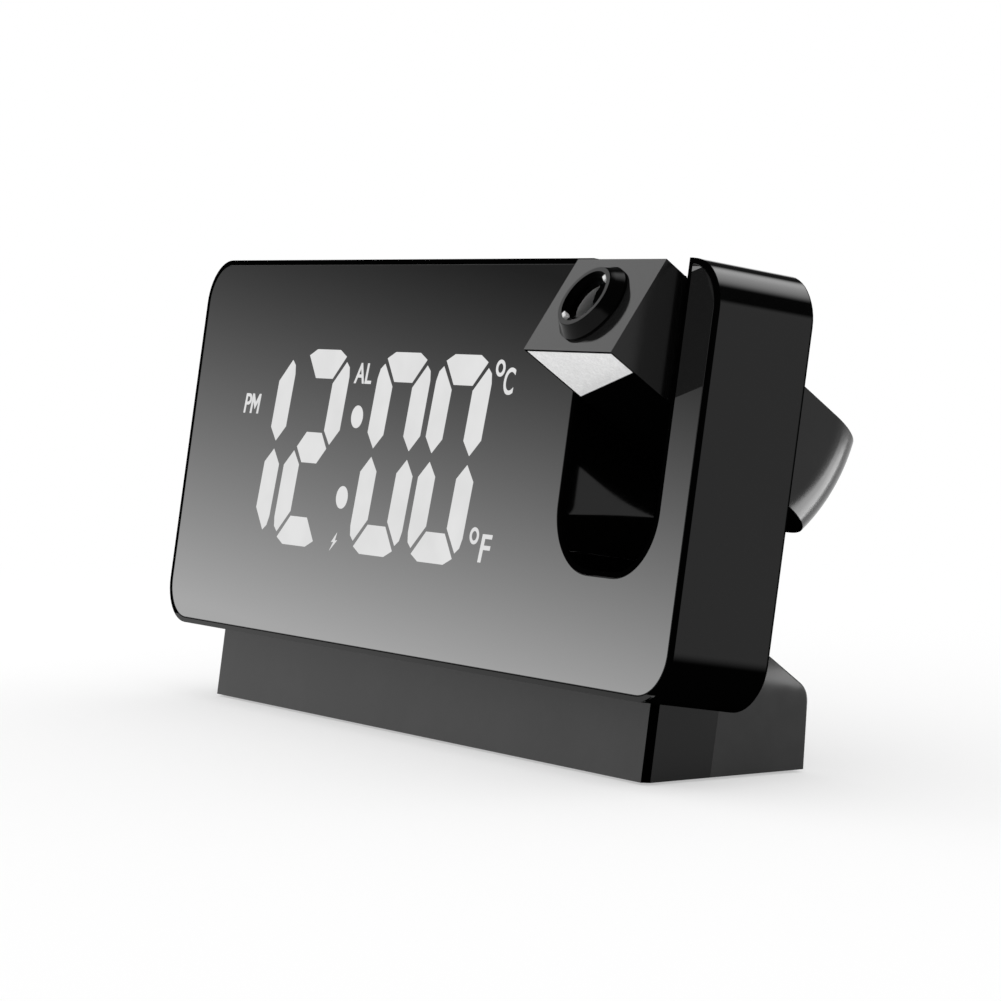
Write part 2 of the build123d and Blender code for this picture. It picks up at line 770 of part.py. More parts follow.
for side, side_name in ((-1, "left"), (1, "right")):
    wall_x = slot_x + side * slot_half
    arm_face_x = slot_x + side * arm_w / 2
    with BuildPart() as bush:
        with BuildSketch(pivot_plane(wall_x)):
            Circle(bush_flange_r)
        extrude(amount=-side * bush_flange_t)
        with BuildSketch(pivot_plane(wall_x)):
            Circle(bush_r)
        extrude(amount=side * wall)
        with BuildSketch(pivot_plane(slot_x)):
            Circle(pin_r + pin_clearance)
        extrude(amount=side * (slot_half + wall + play), mode=Mode.SUBTRACT)
    finish(bush, f"pivot_bush_{side_name}")

    with BuildPart() as pin:
        with BuildSketch(pivot_plane(arm_face_x - side * arm_wall)):
            Circle(pin_head_r)
        extrude(amount=-side * pin_head_t)
        with BuildSketch(pivot_plane(arm_face_x - side * arm_wall)):
            Circle(pin_r)
        extrude(amount=side * pin_length)
        groove_x = wall_x + side * (wall + washer_t + 2 * stack_gap)
        with BuildSketch(pivot_plane(groove_x)):
            Circle(pin_r)
            Circle(pin_r - groove_depth, mode=Mode.SUBTRACT)
        extrude(amount=side * clip_t, mode=Mode.SUBTRACT)
        with BuildSketch(pivot_plane(slot_x)):
            Circle(pin_bore_r)
        extrude(amount=side * slot_w, mode=Mode.SUBTRACT)
    finish(pin, f"pivot_pin_{side_name}")

with BuildPart() as washers:
    for side in (-1, 1):
        with BuildSketch(pivot_plane(slot_x + side * (slot_half + wall + stack_gap))):
            Circle(washer_r)
            Circle(pin_r + pin_clearance, mode=Mode.SUBTRACT)
        extrude(amount=side * washer_t)
finish(washers, "friction_washers")

with BuildPart() as clips:
    for side in (-1, 1):
        with BuildSketch(pivot_plane(slot_x + side * (slot_half + wall + washer_t + 2 * stack_gap))):
            Circle(clip_r)
            Circle(pin_r - groove_depth + play, mode=Mode.SUBTRACT)
            with Locations((0, -clip_r)):
                Rectangle(pin_r, 2 * clip_r, mode=Mode.SUBTRACT)
        extrude(amount=side * (clip_t - play))
finish(clips, "retaining_clips")

# --- Projector arm: tub, lid and mirror strip --------------------------------------------
def lid_height(a):
    """Height of the lid's outer face over the arm's middle, at distance a from the pivot."""
    return arm_t / 2 - (lens_reach - a) * tan(arm_slope)


with BuildPart() as arm_hollow:
    add(arm_block(arm_wall))
    split(bisect_by=lid_plane, keep=Keep.BOTTOM)
    split(bisect_by=arm_plan_plane(floor_s), keep=Keep.TOP)
    with BuildSketch(arm_plan_plane(floor_s)):
        with Locations(*arm_screws):
            Circle(arm_boss_r)
    extrude(amount=arm_t, mode=Mode.SUBTRACT)

with BuildPart() as arm_strip:
    add(arm_block(strip_rim + glue_gap))
    split(bisect_by=arm_plan_plane(strip_t - arm_t / 2), keep=Keep.BOTTOM)
finish(arm_strip, "arm_mirror_strip")

with BuildPart() as strip_recess:
    add(arm_block(strip_rim))
    split(bisect_by=arm_plan_plane(strip_t - arm_t / 2), keep=Keep.BOTTOM)

with BuildPart() as arm_housing:
    add(arm_block())
    split(bisect_by=lid_plane, keep=Keep.BOTTOM)
    add(arm_hollow.part, mode=Mode.SUBTRACT)
    add(strip_recess.part, mode=Mode.SUBTRACT)
    with BuildSketch(arm_cross_plane(0)):
        Circle(barrel_bore_r + ring_gap)
    extrude(amount=lens_reach, mode=Mode.SUBTRACT)
    with BuildSketch(pivot_plane(slot_x)):
        Circle(pin_r + bush_clearance)
    extrude(amount=arm_w, both=True, mode=Mode.SUBTRACT)
    with BuildSketch(arm_plan_plane(arm_t / 2)):
        with Locations(*arm_screws):
            Circle(screw_r + thread_gap)
    extrude(amount=-screw_len - arm_lid_t, mode=Mode.SUBTRACT)
finish(arm_housing, "arm_housing")

with BuildPart() as arm_lid:
    add(arm_block())
    split(bisect_by=lid_plane, keep=Keep.TOP)
    with BuildSketch(arm_plan_plane(0)):
        with Locations(*arm_screws):
            Circle(screw_r + head_gap)
    extrude(amount=arm_t, mode=Mode.SUBTRACT)
    for x, a in arm_screws:
        with BuildSketch(arm_plan_plane(lid_height(a) - head_t)):
            with Locations((x, a)):
                Circle(head_r + head_gap)
        extrude(amount=arm_t, mode=Mode.SUBTRACT)
finish(arm_lid, "arm_lid")

with BuildPart() as arm_screw_set:
    for x, a in arm_screws:
        seat = pivot + lid_dir * (lid_height(a) - head_t) + lens_dir * a + Vector(x, 0, 0)
        screw(Plane(seat, x_dir=(1, 0, 0), z_dir=lid_dir), screw_len - screw_tip_gap)
finish(arm_screw_set, "arm_screws")


# --- Optics: turned pieces round the arm's axis ------------------------------------------
def turned(points):
    """Revolve a closed (radius, distance from the pivot) outline round the lens axis."""
    with BuildSketch(lens_section_plane, mode=Mode.PRIVATE) as profile:
        with BuildLine():
            Polyline(*points, close=True)
        make_face()
    revolve(profile.sketch, axis=lens_axis)


def lens_disc(radius, back, front, bulge):
    """Lens with a flat back, a short rim and a domed front."""
    sphere_r = (radius**2 + bulge**2) / (2 * bulge)
    half_angle = asin(radius / sphere_r) / 2
    centre_a = front - sphere_r
    crown = (sphere_r * sin(half_angle), centre_a + sphere_r * cos(half_angle))
    with BuildSketch(lens_section_plane, mode=Mode.PRIVATE) as profile:
        with BuildLine():
            Polyline((0, front), (0, back), (radius, back), (radius, front - bulge))
            ThreePointArc((radius, front - bulge), crown, (0, front))
        make_face()
    revolve(profile.sketch, axis=lens_axis)


ring_back = lens_reach + ring_gap
ring_front = lens_reach + ring_proud
lens_front = ring_front - lens_setback
sleeve_back = lens_reach - sleeve_len
barrel_front = lens_reach - arm_wall

with BuildPart() as barrel:
    turned(
        [
            (barrel_bore_r, barrel_end + barrel_stop_t),
            (barrel_bore_r, barrel_front),
            (barrel_r, barrel_front),
            (barrel_r, barrel_end),
            (lock_ring_bore_r, barrel_end),
            (lock_ring_bore_r, barrel_end + barrel_stop_t),
        ]
    )
finish(barrel, "lens_barrel")

with BuildPart() as focus_ring:
    turned(
        [
            (ring_bore_r, sleeve_back),
            (barrel_bore_r - ring_gap, sleeve_back),
            (barrel_bore_r - ring_gap, ring_back),
            (ring_r, ring_back),
            (ring_r, ring_back + ring_rim_t),
            (ring_front_r, ring_front - ring_lip),
            (ring_front_r - ring_lip, ring_front),
            (ring_bore_r, ring_front),
            (ring_bore_r, lens_front - front_lens_t),
            (ring_bore_r - ring_stop_w, lens_front - front_lens_t),
            (ring_bore_r - ring_stop_w, sleeve_back + ring_stop_t),
            (ring_bore_r, sleeve_back + ring_stop_t),
        ]
    )
finish(focus_ring, "focus_ring")

with BuildPart() as front_lens:
    lens_disc(ring_bore_r - lens_clearance, lens_front - front_lens_t, lens_front, lens_bulge)
finish(front_lens, "front_lens")

with BuildPart() as lock_ring:
    rim_seat = lens_front - lens_bulge
    ring_seat = rim_seat + lock_ring_lift
    turned(
        [
            (lock_ring_bore_r, ring_seat),
            (ring_bore_r - lens_clearance, rim_seat + play),
            (ring_bore_r - lens_clearance, ring_seat + lock_ring_t),
            (lock_ring_bore_r, ring_seat + lock_ring_t),
        ]
    )
    with BuildSketch(arm_cross_plane(ring_seat + lock_ring_t)):
        with PolarLocations(ring_bore_r - lock_notch_in, 2, start_angle=lock_notch_deg):
            Rectangle(lock_notch_len, lock_notch_w)
    extrude(amount=-lock_notch_depth, mode=Mode.SUBTRACT)
finish(lock_ring, "lens_lock_ring")

with BuildPart() as rear_lens:
    rear_seat = barrel_end + barrel_stop_t
    lens_disc(barrel_bore_r - lens_clearance, rear_seat, rear_seat + rear_lens_t, lens_bulge)
finish(rear_lens, "rear_lens")

with BuildPart() as optics_frame:
    with BuildSketch(arm_cross_plane(frame_back)):
        Rectangle(frame_w, frame_t)
        Rectangle(frame_w - 2 * frame_wall, frame_t - 2 * frame_wall, mode=Mode.SUBTRACT)
    extrude(amount=barrel_end - frame_back)
    for seat_a in (lcd_a + lcd_t, condenser_a - frame_wall):
        with BuildSketch(arm_cross_plane(seat_a)):
            Rectangle(frame_w, frame_t)
            Circle(condenser_r - seat_lip, mode=Mode.SUBTRACT)
        extrude(amount=frame_wall)
finish(optics_frame, "optics_frame")

with BuildPart() as lcd:
    with BuildSketch(arm_cross_plane(lcd_a)):
        Rectangle(frame_w - 2 * (frame_wall + lcd_gap), frame_t - 2 * (frame_wall + lcd_gap))
    extrude(amount=lcd_t)
finish(lcd, "lcd_panel")

with BuildPart() as condenser:
    lens_disc(condenser_r, condenser_a, condenser_a + condenser_t, lens_bulge)
finish(condenser, "condenser_lens")

with BuildPart() as led_board:
    with BuildSketch(arm_cross_plane(frame_back)):
        Rectangle(frame_w - 2 * led_board_in, frame_t)
    extrude(amount=-led_board_t)
finish(led_board, "led_board")

with BuildPart() as projection_led:
    with BuildSketch(lens_section_plane):
        with BuildLine():
            dome = frame_back + led_h - led_r
            Polyline((0, frame_back), (led_r, frame_back), (led_r, dome))
            CenterArc((0, dome), led_r, 0, 90)
            Line((0, dome + led_r), (0, frame_back))
        make_face()
    revolve(axis=lens_axis)
finish(projection_led, "projection_led")

# --- Stand: two shells that meet behind the body's back face, plate and feet -------------
stand_screws = [(sx * plate_screw_x, y) for sx in (-1, 1) for y in plate_screw_ys]
seam_plane = Plane(origin=body_point(body_d, 0), x_dir=(1, 0, 0), z_dir=depth)
front_slope = radians(stand_front_slope)
front_slope_axis = Axis((0, 0, 0), (0, sin(front_slope), cos(front_slope)))
usb_z = plate_top + port_post_h + board_t + usb_h / 2
jack_z = plate_top + port_post_h + board_t + jack_h / 2

with BuildPart() as stand_hollow:
    with BuildSketch(Plane.YZ):
        add(stand_outline(stand_z - cutter_spare, wall))
    extrude(amount=stand_w / 2 - wall, both=True)
    with BuildSketch(Plane.XY.offset(plate_top)):
        with Locations(*stand_screws):
            Circle(boss_r)
    extrude(amount=body_h, mode=Mode.SUBTRACT)

with BuildPart() as stand_shell:
    with BuildSketch(Plane.YZ):
        add(stand_outline(stand_z))
    extrude(amount=stand_w / 2, both=True)
    add(stand_hollow.part, mode=Mode.SUBTRACT)
    with BuildSketch(Plane.XY.offset(plate_top)):
        with Locations(*stand_screws):
            Circle(screw_r + thread_gap)
    extrude(amount=screw_len - plate_t, mode=Mode.SUBTRACT)
    with BuildSketch(top_plane(0)):
        with Locations(*[(sx * body_screw_x, body_screw_d) for sx in (-1, 1)]):
            Circle(screw_r + head_gap)
        with Locations((0, body_screw_d)):
            Circle(wire_hole_r)
    extrude(amount=-2 * wall, mode=Mode.SUBTRACT)
    with BuildSketch(Plane.XZ.offset(-stand_rear_y)):
        with Locations((usb_x, usb_z)):
            Rectangle(usb_w + 2 * port_gap, usb_h + 2 * port_gap)
        with Locations((jack_x, jack_z)):
            Circle(jack_bore_r + jack_hole_gap)
    extrude(amount=2 * wall, both=True, mode=Mode.SUBTRACT)

with BuildPart() as stand_front:
    add(stand_shell.part)
    split(bisect_by=seam_plane, keep=Keep.BOTTOM)
    end_edges = stand_front.edges().filter_by_position(Axis.X, -stand_w / 2, -stand_w / 2)
    end_edges += stand_front.edges().filter_by_position(Axis.X, stand_w / 2, stand_w / 2)
    chamfer(end_edges.filter_by(front_slope_axis, tolerance=0.2), stand_corner_chamfer)
finish(stand_front, "stand_front_shell")

with BuildPart() as stand_rear:
    add(stand_shell.part)
    split(bisect_by=seam_plane, keep=Keep.TOP)
finish(stand_rear, "stand_rear_shell")

with BuildPart() as bottom_plate:
    with BuildSketch(Plane.YZ):
        add(stand_outline(stand_z - cutter_spare, wall + plate_gap))
    extrude(amount=stand_w / 2 - wall - plate_gap, both=True)
    with BuildSketch(Plane.XY.offset(stand_z)):
        Rectangle(2 * stand_w, 4 * stand_depth)
    extrude(amount=plate_t, mode=Mode.INTERSECT)
    with BuildSketch(Plane.XY.offset(stand_z)):
        with Locations(*stand_screws):
            Circle(screw_r + head_gap)
        with Locations((cell_x, cell_y)):
            RectangleRounded(door_w, door_d, door_r)
    extrude(amount=plate_t, mode=Mode.SUBTRACT)
    with BuildSketch(Plane.XY.offset(stand_z)):
        with Locations(*stand_screws):
            Circle(head_r + head_gap)
    extrude(amount=head_t, mode=Mode.SUBTRACT)
    with BuildSketch(Plane.XY.offset(stand_z)):
        with Locations(*[(sx * foot_x, y) for sx in (-1, 1) for y in foot_ys]):
            Circle(foot_r)
    extrude(amount=foot_t - foot_proud, mode=Mode.SUBTRACT)
    board_y = stand_rear_y - wall - plate_gap - port_board_d / 2 - port_board_gap
    with BuildSketch(Plane.XY.offset(plate_top)):
        with Locations(*[(port_board_x + sx * (port_board_w / 2 - port_post_in), board_y) for sx in (-1, 1)]):
            Rectangle(port_post_w, port_board_d - port_post_short)
    extrude(amount=port_post_h)
finish(bottom_plate, "stand_bottom_plate")

with BuildPart() as plate_screws:
    for x, y in stand_screws:
        screw(Plane((x, y, stand_z + head_t), z_dir=(0, 0, -1)), screw_len - head_t - screw_tip_gap)
finish(plate_screws, "bottom_plate_screws")

with BuildPart() as body_screws:
    for side in (-1, 1):
        seat = body_point(body_screw_d, -wall) + Vector(side * body_screw_x, 0, 0)
        screw(Plane(seat, x_dir=(1, 0, 0), z_dir=-up), body_screw_len)
finish(body_screws, "stand_to_body_screws")

with BuildPart() as feet:
    with BuildSketch(Plane.XY):
        with Locations(*[(sx * foot_x, y) for sx in (-1, 1) for y in foot_ys]):
            Circle(foot_r - foot_gap)
    extrude(amount=foot_t)
    chamfer(feet.faces().group_by(Axis.Z)[0].edges(), foot_edge)
finish(feet, "rubber_feet")

# --- Ports on a small board in the stand -------------------------------------------------
port_board_z = plate_top + port_post_h
port_top_z = port_board_z + board_t
mouth_y = stand_rear_y - port_recess + (usb_z - stand_z) * tan(radians(stand_rear_slope))

with BuildPart() as port_board:
    with BuildSketch(Plane.XY.offset(port_board_z)):
        with Locations((port_board_x, board_y)):
            Rectangle(port_board_w, port_board_d)
    extrude(amount=board_t)
finish(port_board, "port_board")

with BuildPart() as usb_port:
    with BuildSketch(Plane.XZ.offset(-mouth_y)):
        with Locations((usb_x, usb_z)):
            Rectangle(usb_w, usb_h)
    extrude(amount=usb_d)
    with BuildSketch(Plane.XZ.offset(-mouth_y)):
        with Locations((usb_x, usb_z)):
            Rectangle(usb_w - 2 * usb_wall, usb_h - 2 * usb_wall)
        with Locations((usb_x, usb_z + usb_h / 2 - usb_wall - usb_tongue_t / 2 - usb_tongue_drop)):
            Rectangle(usb_w - 2 * usb_tongue_in, usb_tongue_t, mode=Mode.SUBTRACT)
    extrude(amount=usb_d - usb_back_t, mode=Mode.SUBTRACT)
finish(usb_port, "usb_port")

with BuildPart() as power_socket:
    with BuildSketch(Plane.XZ.offset(-(mouth_y - wall - port_recess))):
        with Locations((jack_x, jack_z)):
            Rectangle(jack_w, jack_h)
    extrude(amount=jack_d - wall)
    with BuildSketch(Plane.XZ.offset(-mouth_y)):
        with Locations((jack_x, jack_z)):
            Circle(jack_bore_r + jack_sleeve_t)
    extrude(amount=wall + 2 * port_recess)
    with BuildSketch(Plane.XZ.offset(-mouth_y)):
        with Locations((jack_x, jack_z)):
            Circle(jack_bore_r)
            Circle(jack_pin_r, mode=Mode.SUBTRACT)
    extrude(amount=jack_d - jack_back_t, mode=Mode.SUBTRACT)
finish(power_socket, "power_socket")

# --- Coin cell that keeps the time, under its screwed door -------------------------------
with BuildPart() as holder:
    with BuildSketch(Plane.XY.offset(plate_top)):
        with Locations((cell_x, cell_y)):
            Rectangle(holder_w, holder_d)
    extrude(amount=holder_h)
    with BuildSketch(Plane.XY.offset(plate_top)):
        with Locations((cell_x, cell_y)):
            Circle(cell_r + cell_gap)
    extrude(amount=cell_t + 2 * contact_t, mode=Mode.SUBTRACT)
    with BuildSketch(Plane.XY.offset(plate_top)):
        with Locations(door_screw):
            Circle(door_screw_r + thread_gap)
    extrude(amount=holder_h - holder_roof_t, mode=Mode.SUBTRACT)
finish(holder, "battery_holder")

with BuildPart() as coin_cell:
    with BuildSketch(Plane.XY.offset(plate_top + contact_t)):
        with Locations((cell_x, cell_y)):
            Circle(cell_r)
    extrude(amount=cell_t)
    chamfer(coin_cell.faces().sort_by(Axis.Z)[0].edges(), cell_edge)
finish(coin_cell, "coin_cell")

with BuildPart() as contacts:
    with BuildSketch(Plane.XY.offset(plate_top)):
        with Locations((cell_x, cell_y)):
            Rectangle(contact_w, contact_len)
    extrude(amount=contact_t)
    with BuildSketch(Plane.XY.offset(plate_top + contact_t + cell_t)):
        with Locations((cell_x, cell_y)):
            Rectangle(contact_w, contact_len)
    extrude(amount=contact_t)
finish(contacts, "battery_contacts")

with BuildPart() as door:
    with BuildSketch(Plane.XY.offset(stand_z)):
        with Locations((cell_x, cell_y)):
            RectangleRounded(door_w - 2 * door_gap, door_d - 2 * door_gap, door_r - door_gap)
    extrude(amount=plate_t)
    with BuildSketch(Plane.XY.offset(stand_z)):
        with Locations(door_screw):
            Circle(screw_r)
    extrude(amount=plate_t, mode=Mode.SUBTRACT)
    with BuildSketch(Plane.XY.offset(stand_z)):
        with Locations(door_screw):
            Circle(head_r)
    extrude(amount=door_head_t, mode=Mode.SUBTRACT)
finish(door, "battery_door")

with BuildPart() as door_screw_piece:
    with Locations(Plane((door_screw[0], door_screw[1], stand_z + door_head_t), z_dir=(0, 0, -1))):
        Cylinder(door_head_r, door_head_t, align=(Align.CENTER, Align.CENTER, Align.MIN))
        Cylinder(door_screw_r, door_screw_len, align=(Align.CENTER, Align.CENTER, Align.MAX))
finish(door_screw_piece, "battery_door_screw")
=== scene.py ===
"""Studio scene for the projection alarm clock: its finishes, lit display, lamps, floor and camera.

Metres. +X runs along the clock from the display towards the projector slot, the mirror faces -Y
and +Z is up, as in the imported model.
"""

import json
from math import cos, pi, radians, sin

import bmesh
import bpy
from mathutils import Matrix, Vector

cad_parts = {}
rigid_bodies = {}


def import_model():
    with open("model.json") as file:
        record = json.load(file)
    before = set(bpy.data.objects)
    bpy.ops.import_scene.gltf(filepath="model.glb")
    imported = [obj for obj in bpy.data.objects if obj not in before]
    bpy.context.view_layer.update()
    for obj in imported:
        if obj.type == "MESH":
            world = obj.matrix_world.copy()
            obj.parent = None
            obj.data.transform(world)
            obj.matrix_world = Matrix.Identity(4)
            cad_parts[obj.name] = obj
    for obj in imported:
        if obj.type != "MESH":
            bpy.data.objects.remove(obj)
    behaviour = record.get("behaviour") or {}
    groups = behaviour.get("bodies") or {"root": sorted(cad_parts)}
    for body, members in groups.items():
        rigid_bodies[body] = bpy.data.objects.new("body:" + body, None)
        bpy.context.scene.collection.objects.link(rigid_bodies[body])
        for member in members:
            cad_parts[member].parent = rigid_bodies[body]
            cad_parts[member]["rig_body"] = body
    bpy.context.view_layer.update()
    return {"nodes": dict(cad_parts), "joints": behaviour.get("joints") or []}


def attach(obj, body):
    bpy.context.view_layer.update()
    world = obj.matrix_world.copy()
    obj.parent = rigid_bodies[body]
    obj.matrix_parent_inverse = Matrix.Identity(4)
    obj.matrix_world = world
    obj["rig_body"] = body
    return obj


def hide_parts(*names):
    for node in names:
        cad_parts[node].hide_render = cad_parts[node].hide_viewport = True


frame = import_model()

MM = 0.001

# --- Where things are on the clock ----------------------------------------------------------------
LEAN = radians(9.0)  # the body leans back
ACROSS = Vector((1.0, 0.0, 0.0))
UP_THE_BODY = Vector((0.0, sin(LEAN), cos(LEAN)))
INTO_THE_BODY = Vector((0.0, cos(LEAN), -sin(LEAN)))
ARM_RISE = radians(36.0)  # the lens looks up by this much
LENS_WAY = Vector((0.0, -cos(ARM_RISE), sin(ARM_RISE)))
LID_WAY = Vector((0.0, sin(ARM_RISE), cos(ARM_RISE)))
PIVOT = Vector(
    next(joint["pos_m"] for joint in frame["joints"] if joint["name"] == "projector_tilt")
)
PIVOT_HEIGHT = 56.93 * MM  # pivot above the body's lower edge, along the lean
PIVOT_DEPTH = 12.0 * MM  # pivot behind the mirror's face
BODY_ORIGIN = PIVOT - PIVOT_HEIGHT * UP_THE_BODY - PIVOT_DEPTH * INTO_THE_BODY
BODY_ORIGIN.x = 0.0  # lower edge of the mirror's face, at the middle
BODY_W, BODY_H, BODY_D, BODY_R = 186.0, 77.0, 21.0, 9.0  # millimetres, R is a corner's radius
SLOT_X, SLOT_FLOOR, SLOT_W, SLOT_R = 68.2, 21.53, 29.8, 11.1  # X and FLOOR place the slot


def frame_matrix(origin, across, up):
    """Matrix that lays a drawing on a plane: its x runs across, its y runs up."""
    columns = Matrix((across, up, across.cross(up))).transposed()
    return Matrix.Translation(origin) @ columns.to_4x4()


MIRROR_FACE = frame_matrix(BODY_ORIGIN, ACROSS, UP_THE_BODY)

# --- The lit display, millimetres on the mirror's face --------------------------------------------
DIGIT_V = 38.9  # height of the digits' middle
DIGIT_SLANT = 0.1
DISPLAY_PLATE = 0.05 * MM
TOP_BAR = ((-3.35, 14.05), (3.35, 14.05), (7.45, 18.6), (4.6, 19.9), (-4.6, 19.9), (-7.45, 18.6))
SIDE_BAR = (
    (3.85, 3.6), (6.8, 0.85), (9.95, 3.9), (9.9, 14.6), (9.35, 16.5), (8.0, 17.5), (3.8, 13.1),
)
MIDDLE_BAR = ((-5.95, 0.0), (-3.0, -3.1), (3.0, -3.1), (5.95, 0.0), (3.0, 3.1), (-3.0, 3.1))
COLON_R = 2.25
COLON_DOTS = ((-23.3, 45.7), (-25.0, 29.6))
ZERO = ("top", "upper_right", "lower_right", "bottom", "lower_left", "upper_left")
LIT_DIGITS = {  # each digit's middle, and its lit segments
    "hour_tens": (-61.85, ("upper_right", "lower_right")),
    "hour_units": (-39.8, ("top", "upper_right", "middle", "lower_left", "bottom")),
    "minute_tens": (-8.8, ZERO),
    "minute_units": (13.25, ZERO),
}
CIRCLE_STEPS = 32
LETTER_SLANT = 0.12
LETTER_SWELL = 0.012  # thickens the strokes, in letter heights
LETTER_DEPTH, LETTER_JOIN = 0.1, 1e-5  # before the letter is fitted to its box
SIGNS = {  # letters with the box they fill: left, right, foot, head
    "pm_sign_p": ("P", (-70.4, -67.5, 45.0, 49.1)),
    "alarm_sign": ("AL", (-26.4, -19.7, 52.3, 56.4)),
    "celsius_sign": ("C", (28.8, 32.5, 51.6, 56.7)),
    "fahrenheit_sign": ("F", (27.9, 32.0, 20.3, 25.6)),
}
M_BOX = (-67.7, -64.1, 45.0, 49.1)  # foot of the letter M of the same sign, its top leans past this
M_STROKE = 0.2  # share of the letter's width
M_SHOULDER, M_NOTCH_FOOT, M_NOTCH_HEAD = 0.62, 0.22, 0.56  # shares of its height
DEGREE_RINGS = {"celsius_ring": (27.1, 56.5), "fahrenheit_ring": (25.7, 25.1)}
DEGREE_R = 1.6
DEGREE_LINE = 0.7
CHARGE_BOLT = (
    (-25.0, 22.6), (-26.9, 20.6), (-26.0, 20.7), (-27.2, 18.9), (-24.6, 21.1), (-25.5, 21.0),
)


# --- Shader helpers -------------------------------------------------------------------------------
def linear(value):
    """Linear light of an 8-bit screen value."""
    share = value / 255.0
    return share / 12.92 if share <= 0.04045 else ((share + 0.055) / 1.055) ** 2.4


def grey(value, warmth=0.0):
    """A neutral colour by its screen value, with a little red added and blue taken by warmth."""
    level = linear(value)
    return (level * (1.0 + warmth), level, level * (1.0 - warmth), 1.0)


FINISH_OUTPUTS = (
    ("Colour", "NodeSocketColor"), ("Roughness", "NodeSocketFloat"), ("Height", "NodeSocketFloat"),
)


def new_group(name, inputs):
    """An empty finish group with named sockets: its nodes, links, entry and exit."""
    group = bpy.data.node_groups.new(name, "ShaderNodeTree")
    for label, kind, value in inputs:
        socket = group.interface.new_socket(name=label, in_out="INPUT", socket_type=kind)
        socket.default_value = value
    for label, kind in FINISH_OUTPUTS:
        group.interface.new_socket(name=label, in_out="OUTPUT", socket_type=kind)
    entry = group.nodes.new("NodeGroupInput")
    leave = group.nodes.new("NodeGroupOutput")
    return group, group.nodes, group.links, entry, leave


def maths(nodes, links, operation, first, second):
    """One Math node; each operand is a socket or a number."""
    node = nodes.new("ShaderNodeMath")
    node.operation = operation
    for place, value in enumerate((first, second)):
        if isinstance(value, bpy.types.NodeSocket):
            links.new(value, node.inputs[place])
        else:
            node.inputs[place].default_value = value
    return node.outputs["Value"]


def noise(nodes, links, where, scale, detail=3.0, roughness=0.5):
    """A noise texture read at a place socket."""
    node = nodes.new("ShaderNodeTexNoise")
    node.inputs["Scale"].default_value = scale
    node.inputs["Detail"].default_value = detail
    node.inputs["Roughness"].default_value = roughness
    links.new(where, node.inputs["Vector"])
    return node.outputs["Fac"]


def ranged(nodes, links, value, low, high, to_low, to_high, smooth=False):
    """Map Range from low..high to to_low..to_high."""
    node = nodes.new("ShaderNodeMapRange")
    node.interpolation_type = "SMOOTHSTEP" if smooth else "LINEAR"
    links.new(value, node.inputs["Value"])
    limits = {"From Min": low, "From Max": high, "To Min": to_low, "To Max": to_high}
    for label, number in limits.items():
        node.inputs[label].default_value = number
    return node.outputs["Result"]


def placed(nodes, kind="Object"):
    """Where a point of the surface, or a way in the world, lies."""
    return nodes.new("ShaderNodeTexCoord").outputs[kind]


def along(nodes, links, place, way):
    """How far a place lies along a way."""
    node = nodes.new("ShaderNodeVectorMath")
    node.operation = "DOT_PRODUCT"
    links.new(place, node.inputs[0])
    node.inputs[1].default_value = way
    return node.outputs["Value"]


def stretched(nodes, links, scale, turn=(0.0, 0.0, 0.0)):
    """Object coordinates through a Mapping node."""
    mapping = nodes.new("ShaderNodeMapping")
    mapping.inputs["Scale"].default_value = scale
    mapping.inputs["Rotation"].default_value = turn
    links.new(placed(nodes), mapping.inputs["Vector"])
    return mapping.outputs["Vector"]


def toned(nodes, links, base, change):
    """The base colour made lighter and darker by a value round zero."""
    node = nodes.new("ShaderNodeHueSaturation")
    links.new(base, node.inputs["Color"])
    links.new(maths(nodes, links, "ADD", change, 1.0), node.inputs["Value"])
    return node.outputs["Color"]


# Pattern sizes are repeats in a metre; a band is the part of a noise that shows.
SMUDGE_SIZE, SMUDGE_BAND, SMUDGE_TONE = 42.0, (0.45, 0.7), 0.25
HAIRLINE_SIZE, HAIRLINE_TURN, HAIRLINE_BAND = (30.0, 900.0, 900.0), (0.0, 0.3, 0.5), (0.68, 0.74)
SPECK_SIZE, SPECK_BAND, SPECK_TONE = 1400.0, (0.80, 0.86), 1.2
RIPPLE_SIZE = 55.0


def polished_plastic_group():
    """Gloss moulding: faint flow ripple, hand smudges, hairline scratches and a few dust specks."""
    group, nodes, links, entry, leave = new_group(
        "polished_plastic",
        (
            ("Colour", "NodeSocketColor", (0.004, 0.004, 0.004, 1.0)),
            ("Roughness", "NodeSocketFloat", 0.06),
            ("Smudges", "NodeSocketFloat", 0.05),
            ("Scratches", "NodeSocketFloat", 0.05),
        ),
    )
    place = placed(nodes)
    smudge = noise(nodes, links, place, SMUDGE_SIZE, 4.0, 0.6)
    smudge = ranged(nodes, links, smudge, *SMUDGE_BAND, 0.0, 1.0, True)
    lines = noise(nodes, links, stretched(nodes, links, HAIRLINE_SIZE, HAIRLINE_TURN), 1.0, 2.0)
    hairline = ranged(nodes, links, lines, *HAIRLINE_BAND, 0.0, 1.0)
    rough = maths(nodes, links, "MULTIPLY", smudge, entry.outputs["Smudges"])
    rough = maths(nodes, links, "ADD", rough, entry.outputs["Roughness"])
    scratch = maths(nodes, links, "MULTIPLY", hairline, entry.outputs["Scratches"])
    links.new(maths(nodes, links, "ADD", rough, scratch), leave.inputs["Roughness"])
    speck = noise(nodes, links, place, SPECK_SIZE, 1.0)
    dust = ranged(nodes, links, speck, *SPECK_BAND, 0.0, SPECK_TONE)
    tone = maths(nodes, links, "ADD", maths(nodes, links, "MULTIPLY", smudge, SMUDGE_TONE), dust)
    links.new(toned(nodes, links, entry.outputs["Colour"], tone), leave.inputs["Colour"])
    links.new(noise(nodes, links, place, RIPPLE_SIZE, 1.0), leave.inputs["Height"])
    return group


